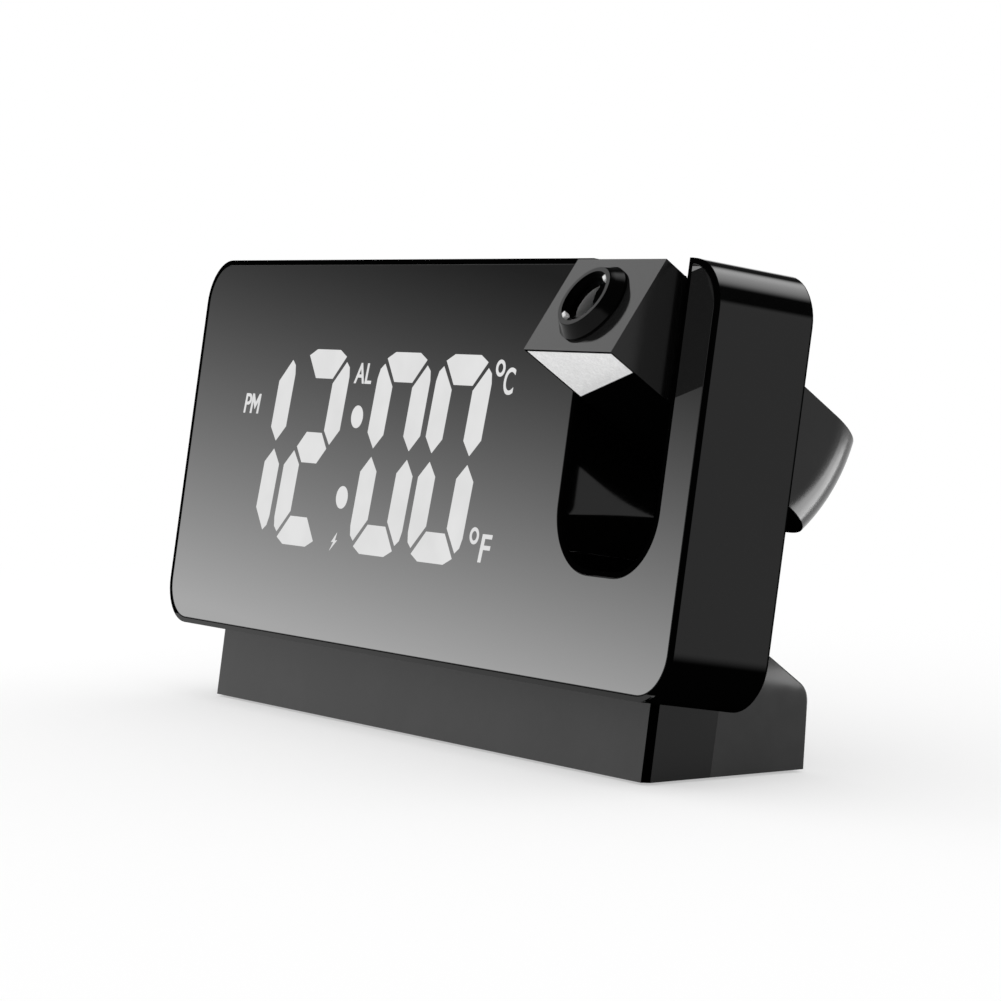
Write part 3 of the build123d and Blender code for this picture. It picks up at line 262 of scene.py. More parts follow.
FINE_PIT_SIZE, PIT_MIDDLE, PIT_TONE = 900.0, 0.8, 0.25
HANDLED_SIZE, HANDLED_BAND, HANDLED_CHANGE = 30.0, (0.4, 0.7), (-0.06, 0.05)


def grained_plastic_group():
    """Spark-eroded moulding grain: fine pits, with handled patches a little smoother."""
    group, nodes, links, entry, leave = new_group(
        "grained_plastic",
        (
            ("Colour", "NodeSocketColor", (0.01, 0.01, 0.01, 1.0)),
            ("Grain Size", "NodeSocketFloat", 2600.0),
            ("Roughness", "NodeSocketFloat", 0.45),
        ),
    )
    place = placed(nodes)
    pits = nodes.new("ShaderNodeTexVoronoi")
    pits.feature = "SMOOTH_F1"
    links.new(place, pits.inputs["Vector"])
    links.new(entry.outputs["Grain Size"], pits.inputs["Scale"])
    fine = noise(nodes, links, place, FINE_PIT_SIZE, 3.0)
    pitted = maths(nodes, links, "ADD", pits.outputs["Distance"], fine)
    links.new(pitted, leave.inputs["Height"])
    handled = noise(nodes, links, place, HANDLED_SIZE, 3.0)
    handled = ranged(nodes, links, handled, *HANDLED_BAND, *HANDLED_CHANGE, True)
    rough = maths(nodes, links, "ADD", entry.outputs["Roughness"], handled)
    links.new(rough, leave.inputs["Roughness"])
    tone = maths(nodes, links, "SUBTRACT", pitted, PIT_MIDDLE)
    tone = maths(nodes, links, "MULTIPLY", tone, PIT_TONE)
    links.new(toned(nodes, links, entry.outputs["Colour"], tone), leave.inputs["Colour"])
    return group


DRAWN_LINE_SIZE, DRAWN_LINE_ROUGH = (60.0, 4000.0, 4000.0), 0.3
METAL_PATCH_SIZE, METAL_PATCH_TONE = 160.0, 0.4


def drawn_metal_group():
    """Metal with lines from turning or rolling, and darker handled patches."""
    group, nodes, links, entry, leave = new_group(
        "drawn_metal",
        (
            ("Colour", "NodeSocketColor", (0.6, 0.6, 0.6, 1.0)),
            ("Roughness", "NodeSocketFloat", 0.3),
        ),
    )
    place = placed(nodes)
    lines = noise(nodes, links, stretched(nodes, links, DRAWN_LINE_SIZE), 1.0, 3.0)
    links.new(lines, leave.inputs["Height"])
    patch = noise(nodes, links, place, METAL_PATCH_SIZE, 3.0)
    change = maths(nodes, links, "SUBTRACT", lines, 0.5)
    change = maths(nodes, links, "MULTIPLY", change, DRAWN_LINE_ROUGH)
    rough = maths(nodes, links, "ADD", entry.outputs["Roughness"], change)
    links.new(rough, leave.inputs["Roughness"])
    tone = maths(nodes, links, "SUBTRACT", patch, 0.5)
    tone = maths(nodes, links, "MULTIPLY", tone, METAL_PATCH_TONE)
    links.new(toned(nodes, links, entry.outputs["Colour"], tone), leave.inputs["Colour"])
    return group


TRACK_SIZE, TRACK_WIDTH = 260.0, 0.04
PAD_SIZE, PAD_EDGE, PAD_HEIGHT = 420.0, (0.14, 0.18), 0.7
MASK_ROUGHNESS, RELIEF_SMOOTHER, RELIEF_TONE = 0.4, 0.1, 0.6


def circuit_board_group():
    """Solder mask over copper tracks: a lighter grid of tracks and pad dots."""
    group, nodes, links, entry, leave = new_group(
        "circuit_board",
        (("Colour", "NodeSocketColor", (0.01, 0.09, 0.03, 1.0)),),
    )
    place = placed(nodes)
    tracks = nodes.new("ShaderNodeTexBrick")
    tracks.inputs["Scale"].default_value = TRACK_SIZE
    tracks.inputs["Mortar Size"].default_value = TRACK_WIDTH
    links.new(place, tracks.inputs["Vector"])
    pads = nodes.new("ShaderNodeTexVoronoi")
    pads.inputs["Scale"].default_value = PAD_SIZE
    links.new(place, pads.inputs["Vector"])
    pad = ranged(nodes, links, pads.outputs["Distance"], *PAD_EDGE, PAD_HEIGHT, 0.0)
    relief = maths(nodes, links, "ADD", tracks.outputs["Fac"], pad)
    links.new(relief, leave.inputs["Height"])
    smoother = maths(nodes, links, "MULTIPLY", relief, RELIEF_SMOOTHER)
    rough = maths(nodes, links, "SUBTRACT", MASK_ROUGHNESS, smoother)
    links.new(rough, leave.inputs["Roughness"])
    tone = maths(nodes, links, "MULTIPLY", relief, RELIEF_TONE)
    links.new(toned(nodes, links, entry.outputs["Colour"], tone), leave.inputs["Colour"])
    return group


POLISHED = polished_plastic_group()
GRAINED = grained_plastic_group()
DRAWN = drawn_metal_group()
BOARD = circuit_board_group()


def dressed(name, group, values, bump, bump_depth, metallic=0.0, ior=1.45):
    """A Principled material whose colour, roughness and relief come from one of the groups."""
    material = bpy.data.materials.new(name)
    material.use_nodes = True
    nodes, links = material.node_tree.nodes, material.node_tree.links
    shader = nodes["Principled BSDF"]
    finish = nodes.new("ShaderNodeGroup")
    finish.node_tree = group
    for label, value in values.items():
        finish.inputs[label].default_value = value
    links.new(finish.outputs["Colour"], shader.inputs["Base Color"])
    links.new(finish.outputs["Roughness"], shader.inputs["Roughness"])
    relief = nodes.new("ShaderNodeBump")
    relief.inputs["Strength"].default_value = bump
    relief.inputs["Distance"].default_value = bump_depth
    links.new(finish.outputs["Height"], relief.inputs["Height"])
    links.new(relief.outputs["Normal"], shader.inputs["Normal"])
    shader.inputs["Metallic"].default_value = metallic
    shader.inputs["IOR"].default_value = ior
    return material, shader


def gloss_parts(name, level, roughness=0.05, ior=1.34):
    """Polished black moulding at a screen value: its material and shader."""
    values = {"Colour": grey(level), "Roughness": roughness, "Smudges": 0.035, "Scratches": 0.03}
    return dressed(name, POLISHED, values, 0.02, 0.0004, ior=ior)


def gloss(name, level, roughness=0.05, ior=1.34):
    """Polished black moulding at a screen value."""
    return gloss_parts(name, level, roughness, ior)[0]


def grain(name, colour, roughness=0.45, size=2600.0, bump=0.25):
    """Grained moulding or rubber."""
    values = {"Colour": colour, "Roughness": roughness, "Grain Size": size}
    return dressed(name, GRAINED, values, bump, 0.0001)[0]


def metal(name, colour, roughness=0.28):
    """Bare or plated metal with fine lines."""
    values = {"Colour": colour, "Roughness": roughness}
    return dressed(name, DRAWN, values, 0.15, 0.00005, metallic=1.0)[0]


def along_body(nodes, links, way):
    """Millimetres from the body's origin along one of the body's directions."""
    reach = along(nodes, links, placed(nodes), way / MM)
    return maths(nodes, links, "SUBTRACT", reach, BODY_ORIGIN.dot(way) / MM)


SHINE_LOW, SHINE_HIGH = 7.6, 9.6  # millimetres up: painted shade, the lower corners get no reflection up to here
SHINE_DEPTH = 0.6  # so does the rim round the mirror
SHINE_BACK = 20.2  # and the edge at the back
FOOT_UP = 1.6  # below this the rim is polished again and shows the table
RIM_BLEND, BACK_BLEND = 0.1, 0.2  # width of the change between no reflection and full reflection
FULL_SHINE = 0.5  # the shader's own specular level


def housing_black():
    """Gloss moulding whose lower corners, front rim and back edge get no reflection and render
    black; on the lower corners this is painted shade under the body.
    """
    material, shader = gloss_parts("housing_gloss_black", 2)
    nodes, links = material.node_tree.nodes, material.node_tree.links
    rise = along_body(nodes, links, UP_THE_BODY)
    depth = along_body(nodes, links, INTO_THE_BODY)
    high = ranged(nodes, links, rise, SHINE_LOW, SHINE_HIGH, 0.0, 1.0, True)
    deep = ranged(nodes, links, depth, SHINE_DEPTH, SHINE_DEPTH + RIM_BLEND, 0.0, 1.0)
    front = ranged(nodes, links, depth, SHINE_BACK, SHINE_BACK + BACK_BLEND, 1.0, 0.0)
    shine = maths(nodes, links, "MULTIPLY", maths(nodes, links, "MULTIPLY", high, deep), front)
    foot = ranged(nodes, links, rise, FOOT_UP - RIM_BLEND, FOOT_UP, 1.0, 0.0)
    foot = maths(nodes, links, "MULTIPLY", foot, maths(nodes, links, "SUBTRACT", 1.0, deep))
    shine = maths(nodes, links, "MAXIMUM", shine, foot)
    shine = maths(nodes, links, "MULTIPLY", shine, FULL_SHINE)
    links.new(shine, shader.inputs["Specular IOR Level"])
    return material


MIRROR_TINT = 0.361
MIRROR_FINISH = {"Roughness": 0.02, "Smudges": 0.02, "Scratches": 0.02}


def smoked_mirror():
    """Half-silvered acrylic over black: a metal-like face of one smoky tint."""
    material = bpy.data.materials.new("smoked_mirror")
    material.use_nodes = True
    nodes, links = material.node_tree.nodes, material.node_tree.links
    shader = nodes["Principled BSDF"]
    finish = nodes.new("ShaderNodeGroup")
    finish.node_tree = POLISHED
    for label, value in MIRROR_FINISH.items():
        finish.inputs[label].default_value = value
    links.new(finish.outputs["Roughness"], shader.inputs["Roughness"])
    shader.inputs["Base Color"].default_value = (MIRROR_TINT, MIRROR_TINT, MIRROR_TINT, 1.0)
    shader.inputs["Metallic"].default_value = 1.0
    return material


SIGN_GRAIN_SIZE, SIGN_GRAIN_BAND = 120.0, (0.3, 0.7)
SIGN_GLOW = (0.70, 0.75)  # dimmest and brightest


def lit_sign():
    """Light coming through the mirror: an even glow with a trace of the diffuser's grain."""
    values = {"Colour": grey(40), "Roughness": 0.6, "Grain Size": 1500.0}
    material, shader = dressed("lit_sign", GRAINED, values, 0.02, 0.00005)
    nodes, links = material.node_tree.nodes, material.node_tree.links
    glow = noise(nodes, links, placed(nodes), SIGN_GRAIN_SIZE, 2.0)
    glow = ranged(nodes, links, glow, *SIGN_GRAIN_BAND, *SIGN_GLOW)
    tint = nodes.new("ShaderNodeCombineColor")
    for channel in ("Red", "Green", "Blue"):
        links.new(glow, tint.inputs[channel])
    links.new(tint.outputs["Color"], shader.inputs["Emission Color"])
    shader.inputs["Emission Strength"].default_value = 1.0
    shader.inputs["Specular IOR Level"].default_value = 0.0
    return material


STRIP_END = 12.7  # the painted reflection turns from pale to black this far along the arm from the pivot, in millimetres
STRIP_SLANT = 0.318  # and that end runs slanting across the strip
STRIP_BLUR = 0.08
STRIP_PAINTED_DARK = 2  # screen value of the painted dark reflection behind that end


def painted_strip_reflection():
    """The arm's mirror strip with its reflection painted on: near white on the front of the
    underside where it mirrors the pale floor, and black with no reflection behind a slanting line
    where it mirrors dark parts.
    """
    values = {"Colour": grey(252), "Roughness": 0.25, "Grain Size": 3000.0}
    material, shader = dressed("arm_strip_painted_reflection", GRAINED, values, 0.01, 0.0001)
    nodes, links = material.node_tree.nodes, material.node_tree.links
    way = (LENS_WAY - STRIP_SLANT * ACROSS) / MM
    reach = maths(nodes, links, "SUBTRACT", along(nodes, links, placed(nodes), way), PIVOT.dot(way))
    edge = (STRIP_END - STRIP_BLUR, STRIP_END + STRIP_BLUR)
    bright = ranged(nodes, links, reach, *edge, 0.0, 1.0)
    finish = next(node for node in nodes if node.type == "GROUP")
    blend = nodes.new("ShaderNodeMix")
    blend.data_type = "RGBA"
    blend.inputs["A"].default_value = grey(STRIP_PAINTED_DARK)
    links.new(bright, blend.inputs["Factor"])
    links.new(finish.outputs["Colour"], blend.inputs["B"])
    links.new(blend.outputs["Result"], shader.inputs["Base Color"])
    shine = maths(nodes, links, "MULTIPLY", bright, FULL_SHINE)
    links.new(shine, shader.inputs["Specular IOR Level"])
    return material


GLASS_COLOUR = (0.3, 0.32, 0.36, 1.0)


def lens_glass():
    """Coated glass: clear, with a faint roughness from the coating."""
    values = {"Colour": GLASS_COLOUR, "Roughness": 0.01, "Smudges": 0.02, "Scratches": 0.0}
    material, shader = dressed("lens_glass", POLISHED, values, 0.0, 0.0001, ior=1.18)
    shader.inputs["Transmission Weight"].default_value = 1.0
    return material


MASK_GREEN = (0.01, 0.09, 0.03, 1.0)
BRASS = (0.72, 0.5, 0.2, 1.0)
FINISHES = {  # grain takes a colour, roughness, pit size and relief; metal a colour and roughness
    "housing_black": housing_black(),
    "mirror_black": smoked_mirror(),
    "cover_black": grain("cover_grained_black", grey(26), 0.42, 2400.0, 0.35),
    "stand_black": gloss("stand_rear_black", 38),
    "arm_black": gloss("arm_gloss_black", 20),
    "arm_mirror": painted_strip_reflection(),
    "ring_black": gloss("ring_gloss_black", 2, 0.1, 1.2),
    "lens_glass": lens_glass(),
    "diffuser_white": grain("diffuser_film", grey(225), 0.7, 1800.0, 0.05),
    "light_box_white": grain("light_box_white", grey(232), 0.5, 2000.0, 0.1),
    "board_green": dressed("solder_mask_green", BOARD, {"Colour": MASK_GREEN}, 0.3, 0.00005)[0],
    "led_white": grain("led_case_white", grey(235, 0.03), 0.3, 3000.0, 0.03),
    "button_black": grain("button_satin_black", grey(20), 0.32, 3200.0, 0.12),
    "foot_rubber": grain("foot_rubber", grey(30), 0.8, 1600.0, 0.5),
    "steel": metal("zinc_plated_steel", grey(190), 0.3),
    "spring_steel": metal("spring_steel", grey(160, -0.03), 0.35),
    "acetal": grain("acetal_natural", grey(215, 0.02), 0.4, 2600.0, 0.05),
    "inner_black": grain("inner_matt_black", grey(22), 0.55, 2000.0, 0.3),
    "switch_black": grain("switch_case_black", grey(28), 0.4, 3000.0, 0.1),
    "port_steel": metal("port_shell_steel", grey(200), 0.22),
    "cell_steel": metal("cell_steel", grey(210), 0.18),
    "contact_brass": metal("contact_brass", BRASS, 0.25),
    "speaker_black": grain("speaker_cone_paper", grey(24), 0.85, 1200.0, 0.6),
}
MIRROR_SIDES = gloss("mirror_edge_black", 12, 0.1, 1.3)
# Painted light and shade: the stand's front shell gets a lighter copy of the stand's gloss black on
# its faces and a darker copy on its flat ends.
STAND_FRONT_LIT = gloss("stand_front_lit_black", 44, 0.12)
STAND_ENDS_SHADED = gloss("stand_end_shaded_black", 5, 0.12)
STAND_RIM = gloss("stand_edge_black", 8, 0.12, 1.5)
# Painted shade: the arm's sides get a darker copy of the arm's gloss black, level 6 against 20.
ARM_SIDES_SHADED = gloss("arm_side_shaded_black", 6, 0.2, 1.37)
# Painted shade: a matt black with no reflection for the slot's floor, the arm's underside, the
# stand's slanting front corners and the band behind the slot, which renders them black.
PAINTED_SHADE_VALUES = {"Colour": grey(1), "Roughness": 0.9, "Grain Size": 2000.0}
PAINTED_SHADE_BLACK, painted_shade_shader = dressed("painted_shade_matt_black", GRAINED, PAINTED_SHADE_VALUES, 0.1, 0.0001)
painted_shade_shader.inputs["Specular IOR Level"].default_value = 0.0
TAB_SILVER = grain("lock_tab_silver", grey(205), 0.35, 3000.0, 0.03)
SIGN_LIGHT = lit_sign()

for node in frame["nodes"].values():
    for held in node.material_slots:
        held.material = FINISHES[held.material.name]


# --- Mesh helpers ---------------------------------------------------------------------------------
def new_piece(name, bm, body, material):
    """Turns a finished bmesh into a piece that rides on a body."""
    mesh = bpy.data.meshes.new(name)
    bm.to_mesh(mesh)
    bm.free()
    mesh.materials.append(material)
    piece = bpy.data.objects.new(name, mesh)
    bpy.context.scene.collection.objects.link(piece)
    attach(piece, body)
    return piece


def thicken(bm, thickness):
    """Gives flat faces, drawn on z = 0, their thickness along z."""
    grown = bmesh.ops.extrude_face_region(bm, geom=bm.faces[:])
    raised = [part for part in grown["geom"] if isinstance(part, bmesh.types.BMVert)]
    bmesh.ops.translate(bm, verts=raised, vec=(0.0, 0.0, thickness))
    bmesh.ops.recalc_face_normals(bm, faces=bm.faces[:])


def outline_face(bm, points):
    """One flat face from an outline in millimetres."""
    bm.faces.new([bm.verts.new((x * MM, y * MM, 0.0)) for x, y in points])


def eased(bm, edges, size, segments, clamped=False):
    """Rounds edges by a size in millimetres."""
    bmesh.ops.bevel(
        bm, geom=edges, offset=size * MM, offset_type="OFFSET", affect="EDGES", segments=segments,
        profile=0.5, material=-1, clamp_overlap=clamped,
    )


SMOOTH_UNDER = radians(35.0)  # edges sharper than this stay sharp


def even_shading(piece):
    """Smooth curved faces beside flats that stay quite flat."""
    piece.data.shade_smooth()
    piece.data.set_sharp_from_angle(angle=SMOOTH_UNDER)
    weighting = piece.modifiers.new("even_shading", "WEIGHTED_NORMAL")
    weighting.keep_sharp = True
    weighting.weight = 100


def painted(piece, material, test):
    """Gives the faces that pass the test a material of their own."""
    piece.data.materials.append(material)
    place = len(piece.data.materials) - 1
    for face in piece.data.polygons:
        if test(face.normal, face.center):
            face.material_index = place


JOIN_WITHIN, THIN_UNDER = 0.002 * MM, 0.001 * MM
FLAT_WITHIN = radians(0.2)


def merged_copy(node, name, material, finishing=None):
    """A copy of a CAD shell, its triangles joined and its curves smooth, in the node's place."""
    bm = bmesh.new()
    bm.from_mesh(frame["nodes"][node].data)
    bmesh.ops.remove_doubles(bm, verts=bm.verts[:], dist=JOIN_WITHIN)
    bmesh.ops.dissolve_degenerate(bm, edges=bm.edges[:], dist=THIN_UNDER)
    bmesh.ops.dissolve_limit(
        bm, verts=bm.verts[:], edges=bm.edges[:], angle_limit=FLAT_WITHIN
    )
    if finishing:
        finishing(bm)
    piece = new_piece(name, bm, frame["nodes"][node]["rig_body"], material)
    even_shading(piece)
    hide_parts(node)
    return piece


STAND_HALF = 80.0  # half the length of the stand
STAND_EDGE = 0.3  # rounding of the stand's rear ends, millimetres


END_FACING, ROOF_FACING, BACK_FACING, LEVEL_FACING = 0.99, 0.5, 0.2, 0.1  # parts of a face's normal
AT_END = 0.01  # millimetres


def is_roof_edge(edge):
    """True for the edges of the stand's rear half between an end and its roof or back."""
    ways = [face.normal for face in edge.link_faces]
    ends = [way for way in ways if abs(way.x) > END_FACING]
    level = [way for way in ways if abs(way.x) < LEVEL_FACING]
    skins = [way for way in level if way.y > BACK_FACING or way.z > ROOF_FACING]
    at_end = all(abs(vert.co.x) > (STAND_HALF - AT_END) * MM for vert in edge.verts)
    return at_end and len(ends) == 1 and len(skins) == 1


def ease_roof(bm):
    """Rounds the stand's rear edges."""
    bm.normal_update()
    eased(bm, [edge for edge in bm.edges if is_roof_edge(edge)], STAND_EDGE, 3, clamped=True)


def corner_arc(centre, radius, start, stop, steps=18):
    """Points on a quarter circle, from one angle to the other in degrees."""
    turns = [radians(start + (stop - start) * step / steps) for step in range(steps + 1)]
    return [(centre[0] + radius * cos(turn), centre[1] + radius * sin(turn)) for turn in turns]


def body_outline(inset):
    """Front view of the body less its slot, inside the body's edge by inset, in millimetres."""
    left, right, foot, head = inset - BODY_W / 2, BODY_W / 2 - inset, inset, BODY_H - inset
    outer = BODY_R - inset
    slot_left, slot_right = SLOT_X - SLOT_W / 2 - inset, SLOT_X + SLOT_W / 2 + inset
    slot_foot, inner = SLOT_FLOOR - inset, SLOT_R + inset
    points = corner_arc((left + outer, foot + outer), outer, 180, 270)
    points += corner_arc((right - outer, foot + outer), outer, 270, 360)
    points += corner_arc((right - outer, head - outer), outer, 0, 90)
    if right - outer > slot_right:
        points.append((slot_right, head))
    points += corner_arc((slot_right - inner, slot_foot + inner), inner, 0, -90)
    points += corner_arc((slot_left + inner, slot_foot + inner), inner, 270, 180)
    points.append((slot_left, head))
    points += corner_arc((left + outer, head - outer), outer, 90, 180)
    return points


MIRROR_INSET = 1.0  # millimetres, as are the mirror's thickness and its rounded edge
MIRROR_T = 1.2
MIRROR_EDGE = 0.18
ON_FACE = 1e-7  # metres
FRONT_FACING = 0.99  # part of the normal that looks out of the mirror


def mirror_face():
    """The smoked mirror plate with fine black edges."""
    bm = bmesh.new()
    outline_face(bm, body_outline(MIRROR_INSET))
    thicken(bm, -MIRROR_T * MM)
    rim = [edge for edge in bm.edges if all(abs(vert.co.z) < ON_FACE for vert in edge.verts)]
    eased(bm, rim, MIRROR_EDGE, 2)
    bm.transform(MIRROR_FACE)
    piece = new_piece("mirror_face", bm, "clock", FINISHES["mirror_black"])
    painted(piece, MIRROR_SIDES, lambda way, centre: way.dot(INTO_THE_BODY) > -FRONT_FACING)
    even_shading(piece)
    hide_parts("mirror_plate")


RIM_W = 1.2  # band round the slot at the body's back
RIM_T = 1.6


def slot_rim_painted_shade():
    """A raised band round the projector slot at the back of the body, a guessed part in the matt
    black with no reflection that closes the see-through gap behind the slot: painted shade.
    """
    left, right = SLOT_X - SLOT_W / 2, SLOT_X + SLOT_W / 2
    foot, head = SLOT_FLOOR, BODY_H - BODY_R
    inner = [(left, head)]
    inner += corner_arc((left + SLOT_R, foot + SLOT_R), SLOT_R, 180, 270)
    inner += corner_arc((right - SLOT_R, foot + SLOT_R), SLOT_R, 270, 360)
    inner.append((right, head))
    outer_r = SLOT_R + RIM_W
    outer = [(right + RIM_W, head)]
    outer += corner_arc((right - SLOT_R, foot + SLOT_R), outer_r, 360, 270)
    outer += corner_arc((left + SLOT_R, foot + SLOT_R), outer_r, 270, 180)
    outer.append((left - RIM_W, head))
    bm = bmesh.new()
    outline_face(bm, inner + outer)
    thicken(bm, -RIM_T * MM)
    bm.transform(MIRROR_FACE @ Matrix.Translation((0.0, 0.0, -BODY_D * MM)))
    even_shading(new_piece("slot_rear_rim_painted_shade", bm, "clock", PAINTED_SHADE_BLACK))


TAB_TURNS = (54.0, 234.0)  # degrees round the lens
RING_FRONT = 25.7  # the focus ring's front edge, from the pivot along the arm
TAB_R = 4.9
TAB_SIZE = (0.8, 1.5, 1.2)  # towards the ring, round it, along the lens
TAB_SET_BACK = 0.65  # behind the ring's mouth
TAB_ROUND = 0.08
ARM_FACE = frame_matrix(PIVOT, ACROSS, LID_WAY)


def lock_tabs():
    """Two bright tabs that hold the front lens in the focus ring."""
    bm = bmesh.new()
    for degrees in TAB_TURNS:
        turned = Matrix.Rotation(radians(degrees), 4, "Z")
        moved = Matrix.Translation((TAB_R * MM, 0.0, (RING_FRONT - TAB_SET_BACK) * MM))
        shape = Matrix.Diagonal([size * MM for size in TAB_SIZE] + [1.0])
        bmesh.ops.create_cube(bm, size=1.0, matrix=turned @ moved @ shape)
    eased(bm, bm.edges[:], TAB_ROUND, 2)
    bm.transform(ARM_FACE)
    ring_body = frame["nodes"]["focus_ring"]["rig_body"]
    even_shading(new_piece("lock_tabs", bm, ring_body, TAB_SILVER))


# --- Digits and signs -----------------------------------------------------------------------------
def flipped(points, across, up):
    """An outline, turned over left to right or top to bottom where a sign is minus one."""
    return [(x * across, y * up) for x, y in points]


SEGMENTS = {
    "top": flipped(TOP_BAR, 1, 1),
    "upper_right": flipped(SIDE_BAR, 1, 1),
    "lower_right": flipped(SIDE_BAR, 1, -1),
    "bottom": flipped(TOP_BAR, 1, -1),
    "lower_left": flipped(SIDE_BAR, -1, -1),
    "upper_left": flipped(SIDE_BAR, -1, 1),
    "middle": flipped(MIDDLE_BAR, 1, 1),
}


def lit_plate(name, bm):
    """Makes flat faces, drawn on the mirror, a thin lit plate."""
    thicken(bm, DISPLAY_PLATE)
    lit_piece(name, bm)


def lit_piece(name, bm):
    """Lays a finished sign on the mirror."""
    bm.transform(MIRROR_FACE)
    new_piece(name, bm, "clock", SIGN_LIGHT)


def lit_outline(name, points):
    """One lit shape from its outline."""
    bm = bmesh.new()
    outline_face(bm, points)
    lit_plate(name, bm)


def lit_digit(name, centre, lit):
    """The lit segments of one digit."""
    bm = bmesh.new()
    for segment in lit:
        points = [(centre + x + DIGIT_SLANT * y, DIGIT_V + y) for x, y in SEGMENTS[segment]]
        outline_face(bm, points)
    lit_plate(name, bm)


def flat_circle(bm, centre, radius, filled):
    """A circle on the mirror, in millimetres."""
    place = Matrix.Translation((centre[0] * MM, centre[1] * MM, 0.0))
    bmesh.ops.create_circle(
        bm, cap_ends=filled, segments=CIRCLE_STEPS, radius=radius * MM, matrix=place
    )


def lit_dots(name, centres, radius):
    """Round dots of light."""
    bm = bmesh.new()
    for centre in centres:
        flat_circle(bm, centre, radius, True)
    lit_plate(name, bm)


def lit_ring(name, centre, radius, line):
    """The small ring of a degree sign."""
    bm = bmesh.new()
    for size in (radius, radius - line):
        flat_circle(bm, centre, size, False)
    bmesh.ops.bridge_loops(bm, edges=bm.edges[:])
    lit_plate(name, bm)


def lit_letters(name, letters, box):
    """Condensed slanted letters that fill the box."""
    curve = bpy.data.curves.new(name, "FONT")
    curve.body = letters
    curve.shear = LETTER_SLANT
    curve.offset = LETTER_SWELL
    curve.extrude = LETTER_DEPTH
    source = bpy.data.objects.new(name + "_letters", curve)
    bpy.context.scene.collection.objects.link(source)
    bpy.context.view_layer.update()
    view = bpy.context.evaluated_depsgraph_get()
    drawn = bpy.data.meshes.new_from_object(source.evaluated_get(view))
    bpy.data.objects.remove(source)
    bm = bmesh.new()
    bm.from_mesh(drawn)
    bmesh.ops.remove_doubles(bm, verts=bm.verts[:], dist=LETTER_JOIN)
    left, right, foot, head = (value * MM for value in box)
    low = Vector([min(v.co[axis] for v in bm.verts) for axis in range(3)])
    high = Vector([max(v.co[axis] for v in bm.verts) for axis in range(3)])
    size = high - low
    bmesh.ops.translate(bm, verts=bm.verts[:], vec=-low)
    spread = ((right - left) / size.x, (head - foot) / size.y, DISPLAY_PLATE / size.z)
    bmesh.ops.scale(bm, verts=bm.verts[:], vec=spread)
    bmesh.ops.translate(bm, verts=bm.verts[:], vec=(left, foot, 0.0))
    lit_piece(name, bm)


def lit_m(name, box):
    """A slanted block letter M: two posts and a notch between them."""
    left, right, foot, head = box
    lower = [(0.0, 0.0), (M_STROKE, 0.0), (M_STROKE, M_SHOULDER), (0.5, M_NOTCH_FOOT)]
    upper = [(0.5, M_NOTCH_HEAD), (M_STROKE, 1.0), (0.0, 1.0)]
    shape = lower + [(1.0 - x, y) for x, y in reversed(lower[:-1])]
    shape += [(1.0 - x, y) for x, y in reversed(upper[1:])] + upper
    points = []
    for x, y in shape:
        rise = (head - foot) * y
        points.append((left + (right - left) * x + LETTER_SLANT * rise, foot + rise))
    lit_outline(name, points)


for label, (centre, lit) in LIT_DIGITS.items():
    lit_digit(label + "_digit", centre, lit)
lit_dots("colon", COLON_DOTS, COLON_R)
for label, (letters, box) in SIGNS.items():
    lit_letters(label, letters, box)
lit_m("pm_sign_m", M_BOX)
for label, centre in DEGREE_RINGS.items():
    lit_ring(label, centre, DEGREE_R, DEGREE_LINE)
lit_outline("charge_sign", CHARGE_BOLT)

# --- Shells with smooth curved faces --------------------------------------------------------------
SLOT_MARGIN = 0.1  # millimetres past the slot's sides
SLOT_FLOOR_LOW, SLOT_FLOOR_HIGH = -1.0, 3.0  # millimetres above the slot's floor
FLOOR_FACING = 0.3  # parts of a face's normal, here and below
ARM_SIDE_FACING, ARM_FOOT_FACING = 0.1, 0.5
STAND_END_FACING = 0.95
STAND_CORNER_FACING, STAND_FRONT_FACING = 0.4, 0.3
STAND_RIM_LEAST, STAND_RIM_MOST, STAND_RIM_BACK, STAND_RIM_UP = 0.2, 0.98, 0.1, 0.3


def on_slot_floor(way, centre):
    """True for the faces of the slot's floor and the feet of its rounded corners."""
    side = centre.x / MM - SLOT_X
    height = (centre - BODY_ORIGIN).dot(UP_THE_BODY) / MM - SLOT_FLOOR
    near = abs(side) < SLOT_W / 2 + SLOT_MARGIN and SLOT_FLOOR_LOW < height < SLOT_FLOOR_HIGH
    return near and way.dot(UP_THE_BODY) > FLOOR_FACING


def on_arm_side(way, centre):
    """True for the arm's sides and the rounding of its tail's corners."""
    return abs(way.x) > ARM_SIDE_FACING


def under_arm(way, centre):
    """True for the arm's underside."""
    return way.dot(LID_WAY) < -ARM_FOOT_FACING


def on_stand_end(way, centre):
    """True for the flat ends of the stand."""
    return abs(way.x) > STAND_END_FACING


def on_stand_corner(way, centre):
    """True for the slanting corners of the stand's front."""
    return STAND_CORNER_FACING < abs(way.x) < STAND_END_FACING and way.y < -STAND_FRONT_FACING


def on_stand_rim(way, centre):
    """True for the rounded edges of the stand's rear half."""
    turned = STAND_RIM_LEAST < abs(way.x) < STAND_RIM_MOST
    return turned and (way.y > STAND_RIM_BACK or way.z > STAND_RIM_UP)


SHELLS = (  # the node, its piece in the scene, and the finish
    ("rear_cover", "grained_rear_cover", "cover_black"),
    ("arm_housing", "polished_arm", "arm_black"),
    ("arm_lid", "polished_arm_lid", "arm_black"),
    ("arm_mirror_strip", "silver_arm_strip", "arm_mirror"),
    ("focus_ring", "polished_focus_ring", "ring_black"),
    ("lens_lock_ring", "polished_lock_ring", "ring_black"),
    ("front_lens", "polished_front_lens", "lens_glass"),
)
housing = merged_copy(
    "front_housing", "polished_housing", FINISHES["housing_black"]
)
